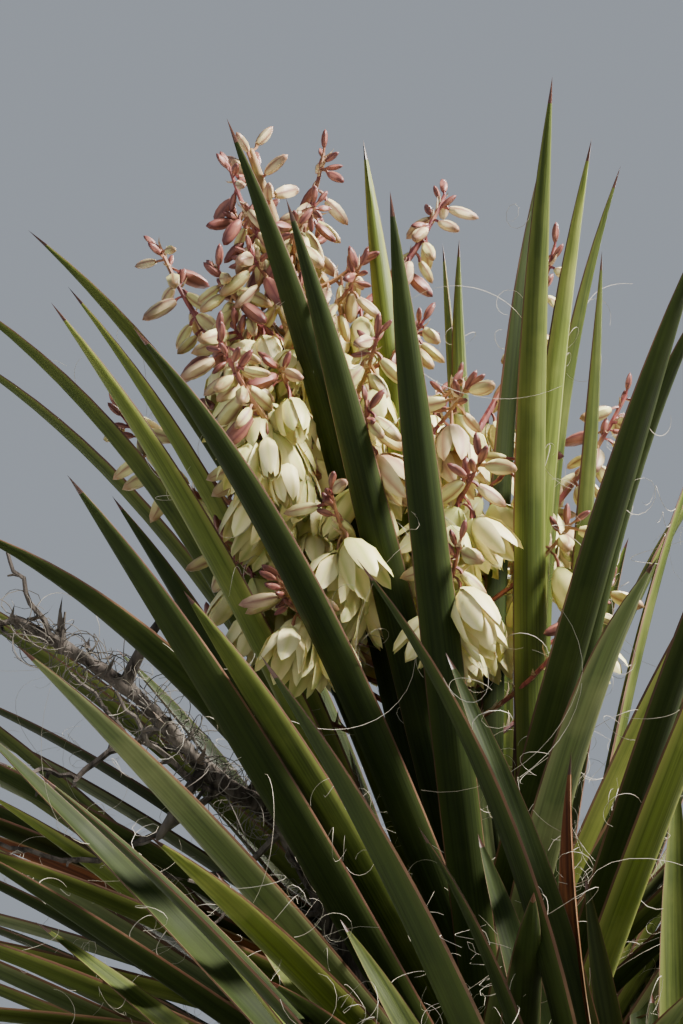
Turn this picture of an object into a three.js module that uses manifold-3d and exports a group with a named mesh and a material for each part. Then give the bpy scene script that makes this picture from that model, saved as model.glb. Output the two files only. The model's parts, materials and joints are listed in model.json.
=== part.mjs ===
// A yucca on a forked, leaning stem. The upper head of leaves carries a panicle of bell flowers
// and last year's withered flower stalk; the lower head grows forward of it and has not flowered.
// Millimetres, +Z up, viewer's side at -Y. The origin is the centre of the flat cut at ground level.

import * as THREE from 'three';
import { mergeVertices } from 'three/addons/utils/BufferGeometryUtils.js';
import Module from 'manifold-3d';

const wasm = await Module();
wasm.setup();

// Clearances between neighbouring pieces
const SEAT_GAP = 0.4;
const CLEAR_GAP = 0.8;

// Stems: foot, bend and crown points, with the radius at each end
const TRUNK = { foot: [0, 0, 0], bend: [0, 0, 90], crown: [-4, 2, 175], footRadius: 104, crownRadius: 84 };
const UPPER = {
  foot: [-4, 2, 110], bend: [-92, 112, 330], crown: [-130, 190, 640], footRadius: 86, crownRadius: 74,
};
const LOWER = {
  foot: [2, -6, 105], bend: [0, -140, 205], crown: [-44, -187, 424], footRadius: 70, crownRadius: 60,
};
const FLARE = 34;
const FLARE_REACH = 0.16;
const DOME_START = 0.80;
const DOME_REACH = 0.22;
const STEM_SIDES = 12;
const STEM_RINGS = 12;
const TRUNK_RINGS = 6;

// Leaves: a stiff channelled blade that keeps its width and then runs out to a spine
const LEAF_WIDTH = 30;
const LEAF_THICKNESS = 7.5;
const LEAF_SINK = 8;
const WHORL_SINK = 1;
const BASE_WIDTH = 0.72;
const BASE_REACH = 0.12;
const TAPER = 4.5;
const CHANNEL = 0.16;
const BLADE_CORNERS = 4;
const EDGE_KEEL = 0.4;
const BLADE_STEPS = 6;
const WHORL_BLADE_STEPS = 4;
const LINE_STEPS = 40;
const EDGE_ROOM = 3;
const FACE_ROOM = 1.5;
const RING_EASE = 1.4;

// The leaves that stand out of the crown:
// name, level on the stem, heading, swing, spread, recurve (degrees), length and width (mm)
const UPPER_LEAVES = [
  ['left_dark', 0.93, 255, -3, 12, 36, 680, 31],
  ['left_front', 0.89, 270, -28, 28, 37, 580, 28],
  ['left_tall', 0.98, 225, -13, 15, 37, 660, 28],
  ['centre_dark', 0.91, 275, -19, 20, 23, 610, 30],
  ['centre_front', 0.87, 270, 3, 27, 8, 620, 30],
  ['right_front', 0.98, 300, 20, 11, 13, 660, 30],
  ['right_dark', 0.97, 285, -1, 60, 9, 650, 27],
  ['right_dark_low', 0.84, 295, 3, 30, 36, 600, 27],
  ['left_low', 0.98, 186, -1, 21, 33, 680, 33],
  ['left_high', 0.89, 197, 9, 13, 43, 710, 31],
  ['right_back', 0.94, 310, -4, 17, 13, 650, 28],
  ['right_outer', 0.92, 340, -25, 11, 25, 660, 27],
  ['right_tallest', 0.90, 315, -24, 19, 15, 700, 28],
  ['centre_back', 0.98, 260, 13, 15, -12, 650, 27],
  ['centre_light', 0.98, 30, -5, 4, 0, 640, 27],
  ['centre_thin', 0.98, 335, -26, 3, 11, 590, 24],
  ['left_back', 0.94, 210, 9, 17, 25, 610, 26],
  ['left_outer_back', 0.91, 225, 4, 24, 22, 600, 26],
  ['right_thin', 0.91, 325, -12, 21, -5, 580, 22],
  ['left_short', 0.86, 250, -4, 47, 12, 430, 27],
  ['right_low', 0.82, 270, 14, 58, 25, 520, 28],
  ['left_lower', 0.91, 245, -9, 48, 37, 560, 30],
  ['right_fan_high', 0.97, 1, 14, 25, 28, 580, 30],
  ['right_fan_low', 0.95, 10, 24, 40, 20, 520, 32],
];
const LOWER_LEAVES = [
  ['front_broad', 0.98, 190, -1, -4, 31, 520, 34],
  ['front_near', 0.95, 180, 8, -2, 24, 380, 32],
  ['front_left', 0.95, 220, -3, 11, 14, 520, 32],
  ['side_left', 0.94, 145, 11, 35, 5, 570, 31],
  ['front_folded', 0.94, 109, -4, -7, 54, 470, 26],
  ['front_right', 0.85, 80, 3, -1, 10, 350, 22],
];
// A leaf that would touch one placed before it starts a little higher, lower or further round
const LEVEL_SHIFTS = [0, 0.012, -0.012, 0.024, -0.024, -0.036];
const BASE_TURNS = [0, 6, -6, 12, -12, 18, -18];

// Whorls of leaves fused to a sheath: level, leaf count, first heading, arc, spread, recurve, length
const UPPER_WHORLS = [
  [0.890, 6, 0, 230, 22, 11, 500],
  [0.832, 6, 290, 320, 36, 16, 560],
  [0.795, 7, 40, 360, 46, 14, 560],
  [0.755, 8, 18, 360, 57, 12, 550],
  [0.712, 7, 305, 300, 70, 9, 530],
  [0.665, 8, 22, 360, 84, 6, 500],
  [0.615, 8, 0, 360, 97, 5, 460],
];
const LOWER_WHORLS = [
  [0.870, 5, 350, 230, 26, 12, 400],
  [0.800, 7, 30, 360, 45, 12, 440],
  [0.725, 8, 8, 360, 64, 10, 430],
  [0.645, 8, 34, 360, 82, 8, 400],
];
const DEAD_WHORLS = [
  ['upper', 0.560, 9, 5, 360, 118, 25, 400],
  ['lower', 0.580, 8, 20, 360, 112, 22, 270],
];
const SHEATH_HEIGHT = 18;
const SHEATH_DEPTH = 6;
const WHORL_TURNS = [0, 7, -7, 13, -13, 19, -19];
const WHORL_SEEDS = { upper: 11, lower: 31, dead: 51 };
const WHORL_WOBBLE = 9;
const SPREAD_WOBBLE = 7;
const LENGTH_RANGE = [0.86, 1.08];
const WIDTH_RANGE = [0.90, 1.04];

// Flower stalk and its branches: station up the stalk, heading, reach and rise (mm), bells, buds
const STALK_FOOT_LEVEL = 0.97;
const STALK_TIP = [-302, 160, 1262];
const STALK_BULGE = [-196, 196, 960];
const STALK_RADIUS = 14;
const STALK_TIP_RADIUS = 4;
const STALK_SIDES = 8;
const STALK_RINGS = 10;
const TIP_BUDS = 5;
const TIP_BUDS_START = 0.93;
const TIP_BUDS_STEP = 0.015;
const TIP_BUDS_RISE = [0.25, 0.35];
const BRANCHES = [
  [0.27, 185, 168, 70, 7, 2],
  [0.29, 8, 170, 110, 6, 2],
  [0.33, 252, 140, 68, 7, 1],
  [0.37, 128, 190, 130, 6, 3],
  [0.40, 16, 205, 190, 7, 4],
  [0.44, 176, 222, 150, 8, 4],
  [0.47, 64, 190, 170, 5, 4],
  [0.50, 32, 190, 262, 5, 4],
  [0.54, 250, 168, 92, 6, 3],
  [0.58, 228, 150, 86, 6, 3],
  [0.62, 166, 156, 168, 5, 5],
  [0.67, 100, 150, 130, 4, 4],
  [0.72, 206, 88, 66, 4, 4],
  [0.76, 26, 124, 128, 3, 5],
];
// Short branches by the stalk's tip, fused to it
const TIP_BRANCHES = [
  [0.84, 212, 56, 76, 0, 6],
  [0.86, 32, 36, 90, 0, 6],
];
const TWIG_RADIUS = 4.5;
const TWIG_TIP_RADIUS = 2;
const TWIG_SIDES = 5;
const TWIG_STEPS = 6;
const TWIG_TURNS = [0, 8, -8, 16, -16, 24, -24];
const TWIG_BOW = [0.62, 0.22];
const BELL = { length: 48, radius: 16, stem: 14, sides: 5, shoulder: 0.45, mouth: 0.95, throat: 0.72 };
const BUD = { length: 34, radius: 6.5, stem: 9, sides: 5, shoulder: 0.45 };
const FLOWER_STEM_RADIUS = 1.8;
const GOLDEN_TURN = 137.5;
const FLOWERS_FROM = 0.34;
const BELL_DROP = -1.5;
const BUD_DROP = -1.65;
const BUD_LIFT = 1.5;

// Last year's stalk: leans out of the crown on the left, with the stubs of its branches
const OLD_STALK = [
  [-156, 131, 514], [-190, 122, 543], [-262, 62, 716], [-318, 20, 764], [-378, -8, 826], [-452, -40, 872],
];
const OLD_STUBS = [[0.42, [-8, -22, 52]], [0.62, [-30, -8, -46]], [0.80, [26, -18, 44]]];
const OLD_RADIUS = 11;
const OLD_TIP_RADIUS = 4;
const OLD_SIDES = 6;
const OLD_RINGS = 12;
const STUB_RADIUS = 5;
const STUB_TIP_RADIUS = 3;
const STUB_SIDES = 5;

// Finishes
const FINISH = {
  bark: { color: 0x6f5a45, roughness: 0.95, metalness: 0 },
  leaf: { color: 0x6f8240, roughness: 0.55, metalness: 0 },
  dead: { color: 0x8c6a45, roughness: 0.85, metalness: 0 },
  stalk: { color: 0xa89a6e, roughness: 0.7, metalness: 0 },
  flower: { color: 0xe9e4bf, roughness: 0.6, metalness: 0 },
  withered: { color: 0x7d7570, roughness: 0.9, metalness: 0 },
};

// Repeatable random numbers
function seededRandom(seed) {
  let state = seed;
  return () => {
    state = (state * 1103515245 + 12345) % 2147483648;
    return state / 2147483648;
  };
}

// Solids from closed three.js geometries, and back
function solidOf(geometry) {
  const bare = geometry.clone();
  bare.deleteAttribute('normal');
  bare.deleteAttribute('uv');
  const merged = mergeVertices(bare, 1e-3);
  const mesh = new wasm.Mesh({
    numProp: 3,
    vertProperties: new Float32Array(merged.attributes.position.array),
    triVerts: new Uint32Array(merged.index.array),
  });
  return new wasm.Manifold(mesh);
}

function meshOf(name, solid, finish) {
  const mesh = solid.getMesh();
  const geometry = new THREE.BufferGeometry();
  geometry.setAttribute('position', new THREE.BufferAttribute(mesh.vertProperties, 3));
  geometry.setIndex(new THREE.BufferAttribute(mesh.triVerts, 1));
  geometry.computeVertexNormals();
  const result = new THREE.Mesh(geometry, new THREE.MeshStandardMaterial(finish));
  result.name = name;
  return result;
}

function largestBody(solid) {
  const bodies = solid.decompose();
  return bodies.reduce((best, body) => (body.volume() > best.volume() ? body : best));
}

function united(solids) {
  return solids.reduce((sum, solid) => sum.add(solid));
}

function nearBoxes(a, b, margin) {
  const [p, q] = [a.boundingBox(), b.boundingBox()];
  return [0, 1, 2].every((k) => p.min[k] - margin < q.max[k] && q.min[k] - margin < p.max[k]);
}

function isClear(solid, others) {
  return others.every((other) => !nearBoxes(solid, other, CLEAR_GAP)
    || solid.minGap(other, 2 * CLEAR_GAP) >= CLEAR_GAP);
}

// A unit cylinder or cone reshaped: place() gives each point from its turn, height and reach
function reshaped(geometry, place) {
  const points = geometry.attributes.position;
  for (let i = 0; i < points.count; i += 1) {
    const [x, y, z] = [points.getX(i), points.getY(i), points.getZ(i)];
    const reach = Math.hypot(x, z);
    const turn = reach > 1e-6 ? Math.atan2(x, z) : 0;
    const target = place(turn, y + 0.5, reach > 1e-6);
    points.setXYZ(i, target.x, target.y, target.z);
  }
  return geometry;
}

// Stems
function makeStem({ foot, bend, crown, footRadius, crownRadius }, flare, dome) {
  const curve = new THREE.QuadraticBezierCurve3(
    new THREE.Vector3(...foot), new THREE.Vector3(...bend), new THREE.Vector3(...crown),
  );
  return {
    curve,
    axis: (t) => curve.getTangent(t),
    radius: (t) => {
      const shaft = footRadius + (crownRadius - footRadius) * t + flare * Math.exp(-t / FLARE_REACH);
      const fall = (t - DOME_START) / DOME_REACH;
      return dome && t > DOME_START ? shaft * Math.sqrt(Math.max(0, 1 - fall * fall)) : shaft;
    },
  };
}

// The unit vector square to the stem that points to a compass heading, 0 at +X and 90 at +Y
function outward(axis, heading) {
  const angle = THREE.MathUtils.degToRad(heading);
  const flat = new THREE.Vector3(Math.cos(angle), Math.sin(angle), 0);
  return flat.addScaledVector(axis, -axis.dot(flat)).normalize();
}

function stemSolid(stem, from, to, extra, rings) {
  const unit = new THREE.CylinderGeometry(1, 1, 1, STEM_SIDES, rings);
  return solidOf(reshaped(unit, (turn, height, rim) => {
    const t = from + (to - from) * height;
    const axis = stem.axis(t);
    const right = outward(axis, 0);
    const front = right.clone().cross(axis);
    const radius = rim ? stem.radius(t) + extra : 0;
    return stem.curve.getPoint(t)
      .addScaledVector(right, Math.sin(turn) * radius)
      .addScaledVector(front, Math.cos(turn) * radius);
  }));
}

// Leaves: the centre line turns away from the stem's axis by spread, and more towards the tip
function leafLine(stem, leaf) {
  const axis = stem.axis(leaf.level);
  const start = stem.curve.getPoint(leaf.level)
    .addScaledVector(outward(axis, leaf.heading), stem.radius(leaf.level) - leaf.sink);
  const out = outward(axis, leaf.heading + leaf.swing);
  const lean = (s) => THREE.MathUtils.degToRad(leaf.spread + leaf.recurve * s * s);
  const points = [start];
  const step = leaf.length / LINE_STEPS;
  for (let i = 0; i < LINE_STEPS; i += 1) {
    const angle = lean((i + 0.5) / LINE_STEPS);
    points.push(points[i].clone()
      .addScaledVector(axis, step * Math.cos(angle))
      .addScaledVector(out, step * Math.sin(angle)));
  }
  return { axis, out, lean, points };
}

function lineAt(points, s) {
  const place = Math.min(s * LINE_STEPS, LINE_STEPS - 1e-6);
  const index = Math.floor(place);
  return points[index].clone().lerp(points[index + 1], place - index);
}

function bladeWidth(width, s) {
  const base = BASE_WIDTH + (1 - BASE_WIDTH) * Math.min(1, s / BASE_REACH);
  return width * base * (1 - s ** TAPER);
}

// With extra, the blade is made that much fuller all round
function bladeSolid(stem, leaf, extra = 0) {
  const { axis, out, lean, points } = leafLine(stem, leaf);
  const unit = new THREE.ConeGeometry(1, 1, BLADE_CORNERS, leaf.steps);
  return solidOf(reshaped(unit, (turn, height, rim) => {
    const s = 1 - (1 - height) ** RING_EASE;
    const angle = lean(s);
    const along = axis.clone().multiplyScalar(Math.cos(angle)).addScaledVector(out, Math.sin(angle));
    const face = axis.clone().multiplyScalar(Math.sin(angle)).addScaledVector(out, -Math.cos(angle));
    const side = along.clone().cross(face);
    const width = bladeWidth(leaf.width, s);
    const thickness = LEAF_THICKNESS * (1 - s ** TAPER);
    const across = rim ? Math.sin(turn) : 0;
    const lift = rim ? width * CHANNEL * Math.abs(across) : 0;
    const keel = rim ? Math.max(0, -Math.cos(turn)) : EDGE_KEEL;
    const room = (keel > EDGE_KEEL ? -1 : 1) * FACE_ROOM * extra;
    return lineAt(points, s)
      .addScaledVector(side, across * (width / 2 + EDGE_ROOM * extra))
      .addScaledVector(face, lift - keel * thickness + room);
  }));
}

function namedLeaves(rows) {
  return rows.map(([name, level, heading, swing, spread, recurve, length, width]) => (
    { name, level, heading, swing, spread, recurve, length, width, sink: LEAF_SINK, steps: BLADE_STEPS }));
}

// The same leaf from a base moved up, down or round, with its blade still turned the same way
function nudgedLeaves(leaf) {
  return BASE_TURNS.flatMap((turn) => LEVEL_SHIFTS.map((shift) => (
    { ...leaf, level: leaf.level + shift, heading: leaf.heading + turn, swing: leaf.swing - turn })));
}

function whorlLeaves([level, count, first, arc, spread, recurve, length], seed) {
  const random = seededRandom(seed);
  return Array.from({ length: count }, (_, k) => ({
    level,
    heading: first + (arc / count) * k + WHORL_WOBBLE * (2 * random() - 1),
    swing: 0,
    spread: spread + SPREAD_WOBBLE * (2 * random() - 1),
    recurve,
    length: length * THREE.MathUtils.lerp(...LENGTH_RANGE, random()),
    width: LEAF_WIDTH * THREE.MathUtils.lerp(...WIDTH_RANGE, random()),
    sink: WHORL_SINK,
    steps: WHORL_BLADE_STEPS,
  }));
}

// A whorl: the clasping leaf bases are one sheath round the stem, and each leaf grows out of it
function whorlSolid(stem, grown, leaves, level, others) {
  const half = SHEATH_HEIGHT / 2 / stem.curve.getLength();
  const ring = stemSolid(stem, level - half, level + half, SHEATH_DEPTH, 1);
  const sheath = leafRoom.filter((room) => nearBoxes(ring, room, 0))
    .reduce((rest, room) => rest.subtract(room), ring);
  const kept = [];
  leaves.forEach((leaf) => {
    const found = WHORL_TURNS.map((turn) => bladeSolid(stem, { ...leaf, heading: leaf.heading + turn }))
      .find((blade) => isClear(blade.subtract(grown), others));
    if (found) kept.push(found);
  });
  return largestBody(united([sheath, ...kept]).subtract(grown));
}

// Flowers
function taperedRod(curve, radius, tipRadius, sides, steps) {
  const unit = new THREE.CylinderGeometry(1, 1, 1, sides, steps);
  return solidOf(reshaped(unit, (turn, height, rim) => {
    const along = curve.getTangent(height);
    const right = outward(along, 0);
    const front = right.clone().cross(along);
    const reach = rim ? radius + (tipRadius - radius) * height : 0;
    return curve.getPoint(height)
      .addScaledVector(right, Math.sin(turn) * reach)
      .addScaledVector(front, Math.cos(turn) * reach);
  }));
}

// Profiles as reach and distance from the root: the petals of a bell flare to an open mouth
function bellProfile({ length, radius, stem, shoulder, mouth, throat }) {
  return [
    [0, 0], [FLOWER_STEM_RADIUS, 0], [FLOWER_STEM_RADIUS, stem], [radius, stem + length * shoulder],
    [radius * mouth, stem + length], [0, stem + length * throat],
  ];
}

function budProfile({ length, radius, stem, shoulder }) {
  return [
    [0, 0], [FLOWER_STEM_RADIUS, FLOWER_STEM_RADIUS], [radius, stem + length * shoulder], [0, stem + length],
  ];
}

// A turned flower that hangs from a point along a direction
function flowerSolid(profile, sides, root, direction) {
  const points = profile.map(([reach, drop]) => new THREE.Vector2(reach, drop));
  const geometry = new THREE.LatheGeometry(points, sides);
  const turn = new THREE.Quaternion().setFromUnitVectors(new THREE.Vector3(0, 1, 0), direction);
  geometry.applyQuaternion(turn);
  geometry.translate(root.x, root.y, root.z);
  return solidOf(geometry);
}

function branchCurve(stalk, [station, heading, reach, rise], turn) {
  const root = stalk.getPoint(station);
  const angle = THREE.MathUtils.degToRad(heading + turn);
  const out = new THREE.Vector3(Math.cos(angle), Math.sin(angle), 0);
  const bend = root.clone().addScaledVector(out, reach * TWIG_BOW[0])
    .add(new THREE.Vector3(0, 0, rise * TWIG_BOW[1]));
  const tip = root.clone().addScaledVector(out, reach).add(new THREE.Vector3(0, 0, rise));
  return new THREE.QuadraticBezierCurve3(root, bend, tip);
}

// Bells hang from the inner part of a branch and buds stand round its tip
function branchFlowers(curve, bells, buds) {
  const count = bells + buds;
  return Array.from({ length: count }, (_, k) => {
    const along = THREE.MathUtils.lerp(FLOWERS_FROM, 1, k / (count - 1));
    const angle = THREE.MathUtils.degToRad(GOLDEN_TURN * k);
    const open = k < bells;
    const drop = open ? BELL_DROP : BUD_DROP + BUD_LIFT * along;
    const direction = new THREE.Vector3(Math.cos(angle), Math.sin(angle), drop).normalize();
    const root = curve.getPoint(along);
    return open
      ? flowerSolid(bellProfile(BELL), BELL.sides, root, direction)
      : flowerSolid(budProfile(BUD), BUD.sides, root, direction);
  });
}

// Assembly
const plant = new THREE.Group();
const placed = [];
const leafRoom = [];

function addPiece(name, solid, finish) {
  placed.push(solid);
  plant.add(meshOf(name, solid, finish));
}

const trunk = makeStem(TRUNK, FLARE, false);
const upper = makeStem(UPPER, 0, true);
const lower = makeStem(LOWER, 0, true);
const trunkSolid = stemSolid(trunk, 0, 1, 0, TRUNK_RINGS);
const upperSolid = stemSolid(upper, 0, 1, 0, STEM_RINGS);
const lowerSolid = stemSolid(lower, 0, 1, 0, STEM_RINGS);
const trunkGrown = stemSolid(trunk, 0, 1, SEAT_GAP, TRUNK_RINGS);
const upperGrown = stemSolid(upper, 0, 1, SEAT_GAP, STEM_RINGS);
const lowerGrown = stemSolid(lower, 0, 1, SEAT_GAP, STEM_RINGS);
const upperBough = largestBody(upperSolid.subtract(trunkGrown));
const lowerBough = largestBody(lowerSolid.subtract(trunkGrown).subtract(upperGrown));
addPiece('trunk', trunkSolid, FINISH.bark);
addPiece('bough_upper', upperBough, FINISH.bark);
addPiece('bough_lower', lowerBough, FINISH.bark);
const stemCount = placed.length;

// The flower stalk rises from the middle of the upper crown
const crownTop = upper.curve.getPoint(STALK_FOOT_LEVEL);
const stalkCurve = new THREE.QuadraticBezierCurve3(
  crownTop, new THREE.Vector3(...STALK_BULGE), new THREE.Vector3(...STALK_TIP),
);
const stalkRod = taperedRod(stalkCurve, STALK_RADIUS, STALK_TIP_RADIUS, STALK_SIDES, STALK_RINGS);
const stalkGrown = taperedRod(
  stalkCurve, STALK_RADIUS + SEAT_GAP, STALK_TIP_RADIUS + SEAT_GAP, STALK_SIDES, STALK_RINGS,
);
const tipBuds = Array.from({ length: TIP_BUDS }, (_, k) => {
  const angle = THREE.MathUtils.degToRad(GOLDEN_TURN * k);
  const rise = TIP_BUDS_RISE[0] + TIP_BUDS_RISE[1] * k;
  const direction = new THREE.Vector3(Math.cos(angle), Math.sin(angle), rise).normalize();
  const root = stalkCurve.getPoint(TIP_BUDS_START + TIP_BUDS_STEP * k);
  return flowerSolid(budProfile(BUD), BUD.sides, root, direction);
});
const tipBranches = TIP_BRANCHES.flatMap((row) => {
  const curve = branchCurve(stalkCurve, row, 0);
  const rod = taperedRod(curve, TWIG_RADIUS, TWIG_TIP_RADIUS, TWIG_SIDES, TWIG_STEPS);
  return [rod, ...branchFlowers(curve, row[4], row[5])];
});
const stalkParts = united([stalkRod, ...tipBranches, ...tipBuds]);
addPiece('flower_stalk', stalkParts.subtract(upperGrown), FINISH.stalk);

// Leaves that are nodes of their own
[['upper', upper, upperGrown, UPPER_LEAVES], ['lower', lower, lowerGrown, LOWER_LEAVES]].forEach(
  ([head, stem, grown, rows]) => {
    namedLeaves(rows).forEach((leaf) => {
      const found = nudgedLeaves(leaf)
        .map((moved) => ({ moved, blade: largestBody(bladeSolid(stem, moved).subtract(grown)) }))
        .find(({ blade }) => isClear(blade, placed.slice(stemCount)));
      if (!found) return;
      addPiece(`leaf_${head}_${leaf.name}`, found.blade, FINISH.leaf);
      leafRoom.push(bladeSolid(stem, found.moved, CLEAR_GAP));
    });
  },
);

// Bare branches first, so that no flower takes their place
const leafSolids = placed.slice(stemCount + 1);
const branches = BRANCHES.map((row) => {
  const turns = TWIG_TURNS.map((turn) => {
    const curve = branchCurve(stalkCurve, row, turn);
    const rod = taperedRod(curve, TWIG_RADIUS, TWIG_TIP_RADIUS, TWIG_SIDES, TWIG_STEPS);
    return { curve, rod: largestBody(rod.subtract(stalkGrown)) };
  });
  const found = turns.find(({ rod }) => isClear(rod, leafSolids));
  return found ? { ...found, row } : null;
}).filter(Boolean);

// Each branch keeps the flowers that touch no leaf and no other branch
branches.forEach(({ curve, rod, row }, k) => {
  const others = [...placed.slice(stemCount), ...branches.slice(k + 1).map((branch) => branch.rod)];
  const flowers = branchFlowers(curve, row[4], row[5]).filter((flower) => isClear(flower, others));
  const solid = largestBody(united([rod, ...flowers]));
  addPiece(`flower_branch_${String(k + 1).padStart(2, '0')}`, solid, FINISH.flower);
});

// The withered stalk
const oldCurve = new THREE.CatmullRomCurve3(OLD_STALK.map((p) => new THREE.Vector3(...p)));
const oldRods = [taperedRod(oldCurve, OLD_RADIUS, OLD_TIP_RADIUS, OLD_SIDES, OLD_RINGS)];
OLD_STUBS.forEach(([station, reach]) => {
  const root = oldCurve.getPoint(station);
  const tip = root.clone().add(new THREE.Vector3(...reach));
  const line = new THREE.LineCurve3(root, tip);
  oldRods.push(taperedRod(line, STUB_RADIUS, STUB_TIP_RADIUS, STUB_SIDES, 1));
});
const oldStalk = largestBody(united(oldRods).subtract(upperGrown));
addPiece('old_flower_stalk', oldStalk, FINISH.withered);
leafRoom.push(taperedRod(
  oldCurve, OLD_RADIUS + CLEAR_GAP, OLD_TIP_RADIUS + CLEAR_GAP, OLD_SIDES, OLD_RINGS,
));

// Whorls, from the crown down, and the dead leaves under them
[['upper', upper, upperGrown, UPPER_WHORLS], ['lower', lower, lowerGrown, LOWER_WHORLS]].forEach(
  ([head, stem, grown, rows]) => {
    rows.forEach((row, k) => {
      const leavesRound = whorlLeaves(row, WHORL_SEEDS[head] + k);
      const solid = whorlSolid(stem, grown, leavesRound, row[0], placed.slice(stemCount));
      addPiece(`whorl_${head}_${k + 1}`, solid, FINISH.leaf);
    });
  },
);
DEAD_WHORLS.forEach(([head, ...row], k) => {
  const [stem, grown] = head === 'upper' ? [upper, upperGrown] : [lower, lowerGrown];
  const others = placed.filter((solid) => solid !== (head === 'upper' ? upperBough : lowerBough));
  const solid = whorlSolid(stem, grown, whorlLeaves(row, WHORL_SEEDS.dead + k), row[0], others);
  addPiece(`dead_leaves_${head}`, solid, FINISH.dead);
});

export default plant;
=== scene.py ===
"""A yucca in flower, in a plain studio.

A forked, leaning stem carries two heads of stiff spine-tipped leaves whose margins shed curled fibres.
The upper head bears a panicle of hanging bell flowers and last year's withered flower stalk.
Shapes are worked out in millimetres by the same rules as the solids, and made in metres.
"""

import json
import logging
import math
from dataclasses import dataclass, field, replace
from enum import Enum
from typing import Iterable, Sequence

import bpy
import numpy as np
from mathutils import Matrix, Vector
from mathutils.bvhtree import BVHTree

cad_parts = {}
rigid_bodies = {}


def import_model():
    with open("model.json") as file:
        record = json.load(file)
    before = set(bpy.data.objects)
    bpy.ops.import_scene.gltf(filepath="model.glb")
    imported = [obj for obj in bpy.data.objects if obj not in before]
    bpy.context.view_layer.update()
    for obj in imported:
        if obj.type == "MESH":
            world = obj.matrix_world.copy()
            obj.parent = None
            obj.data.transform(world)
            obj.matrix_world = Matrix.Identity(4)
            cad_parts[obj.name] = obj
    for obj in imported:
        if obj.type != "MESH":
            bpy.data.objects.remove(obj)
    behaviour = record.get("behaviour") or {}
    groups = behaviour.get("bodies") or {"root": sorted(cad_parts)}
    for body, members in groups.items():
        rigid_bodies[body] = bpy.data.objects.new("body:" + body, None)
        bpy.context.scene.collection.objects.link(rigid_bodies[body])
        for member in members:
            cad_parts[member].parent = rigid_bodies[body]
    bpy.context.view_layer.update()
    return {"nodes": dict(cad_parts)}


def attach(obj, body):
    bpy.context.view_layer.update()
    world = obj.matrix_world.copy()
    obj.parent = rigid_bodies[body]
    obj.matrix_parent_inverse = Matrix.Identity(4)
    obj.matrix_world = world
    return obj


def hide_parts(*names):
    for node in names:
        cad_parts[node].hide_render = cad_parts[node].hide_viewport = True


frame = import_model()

LOG = logging.getLogger("yucca")
MM = 0.001
Array = np.ndarray
Triple = tuple[float, float, float]
Socket = bpy.types.NodeSocket

# Rules shared with the solids
FLARE_REACH = 0.16
DOME_START = 0.80
DOME_REACH = 0.22
LEAF_WIDTH = 30.0
LEAF_SINK = 8.0
WHORL_SINK = 1.0
BASE_WIDTH = 0.72
BASE_REACH = 0.12
TAPER = 4.5
CHANNEL = 0.16
LINE_STEPS = 40
LEVEL_SHIFTS = (0, 0.012, -0.012, 0.024, -0.024, -0.036)
BASE_TURNS = (0, 6, -6, 12, -12, 18, -18)
WHORL_TURNS = (0, 7, -7, 13, -13, 19, -19)
WHORL_WOBBLE = 9.0
SPREAD_WOBBLE = 7.0
LENGTH_RANGE = (0.86, 1.08)
WIDTH_RANGE = (0.90, 1.04)
TWIG_TURNS = (0, 8, -8, 16, -16, 24, -24)
TWIG_BOW = (0.62, 0.22)
GOLDEN_TURN = 137.5
FLOWERS_FROM = 0.34
BELL_DROP = -1.5
BUD_DROP = -1.65
BUD_LIFT = 1.5

# How near to a solid's own point a leaf's or flower's end lies, when the solid is that leaf or flower
TIP_MATCH = 1.5
# Finer leaves of a whorl: how far each stands above it, and how much steeper that makes them
RISE_STEP = 0.012
LEAN_BY_LEVEL = 350.0
# The lowest height that a flower hangs to, and the gaps that buds and open flowers keep
LOWEST_FLOWER = 824
BUD_ROOM = 5.2
BELL_ROOM = 10.5
TIP_BUD_ROOM = 2.6
# Finishes and models are dealt out from these, so a number given twice comes up twice as often
LEAF_DEAL = (0, 0, 0, 1, 1, 1, 2, 3)
BELL_DEAL = (0, 0, 0, 1, 1, 2, 2, 3)
PETAL_DEAL = (0, 0, 2)
# Numbers added to a head's seed, for its whorls and for its dry leaves
WHORL_DRAWS = 60
DRY_DRAWS = 90

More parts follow.
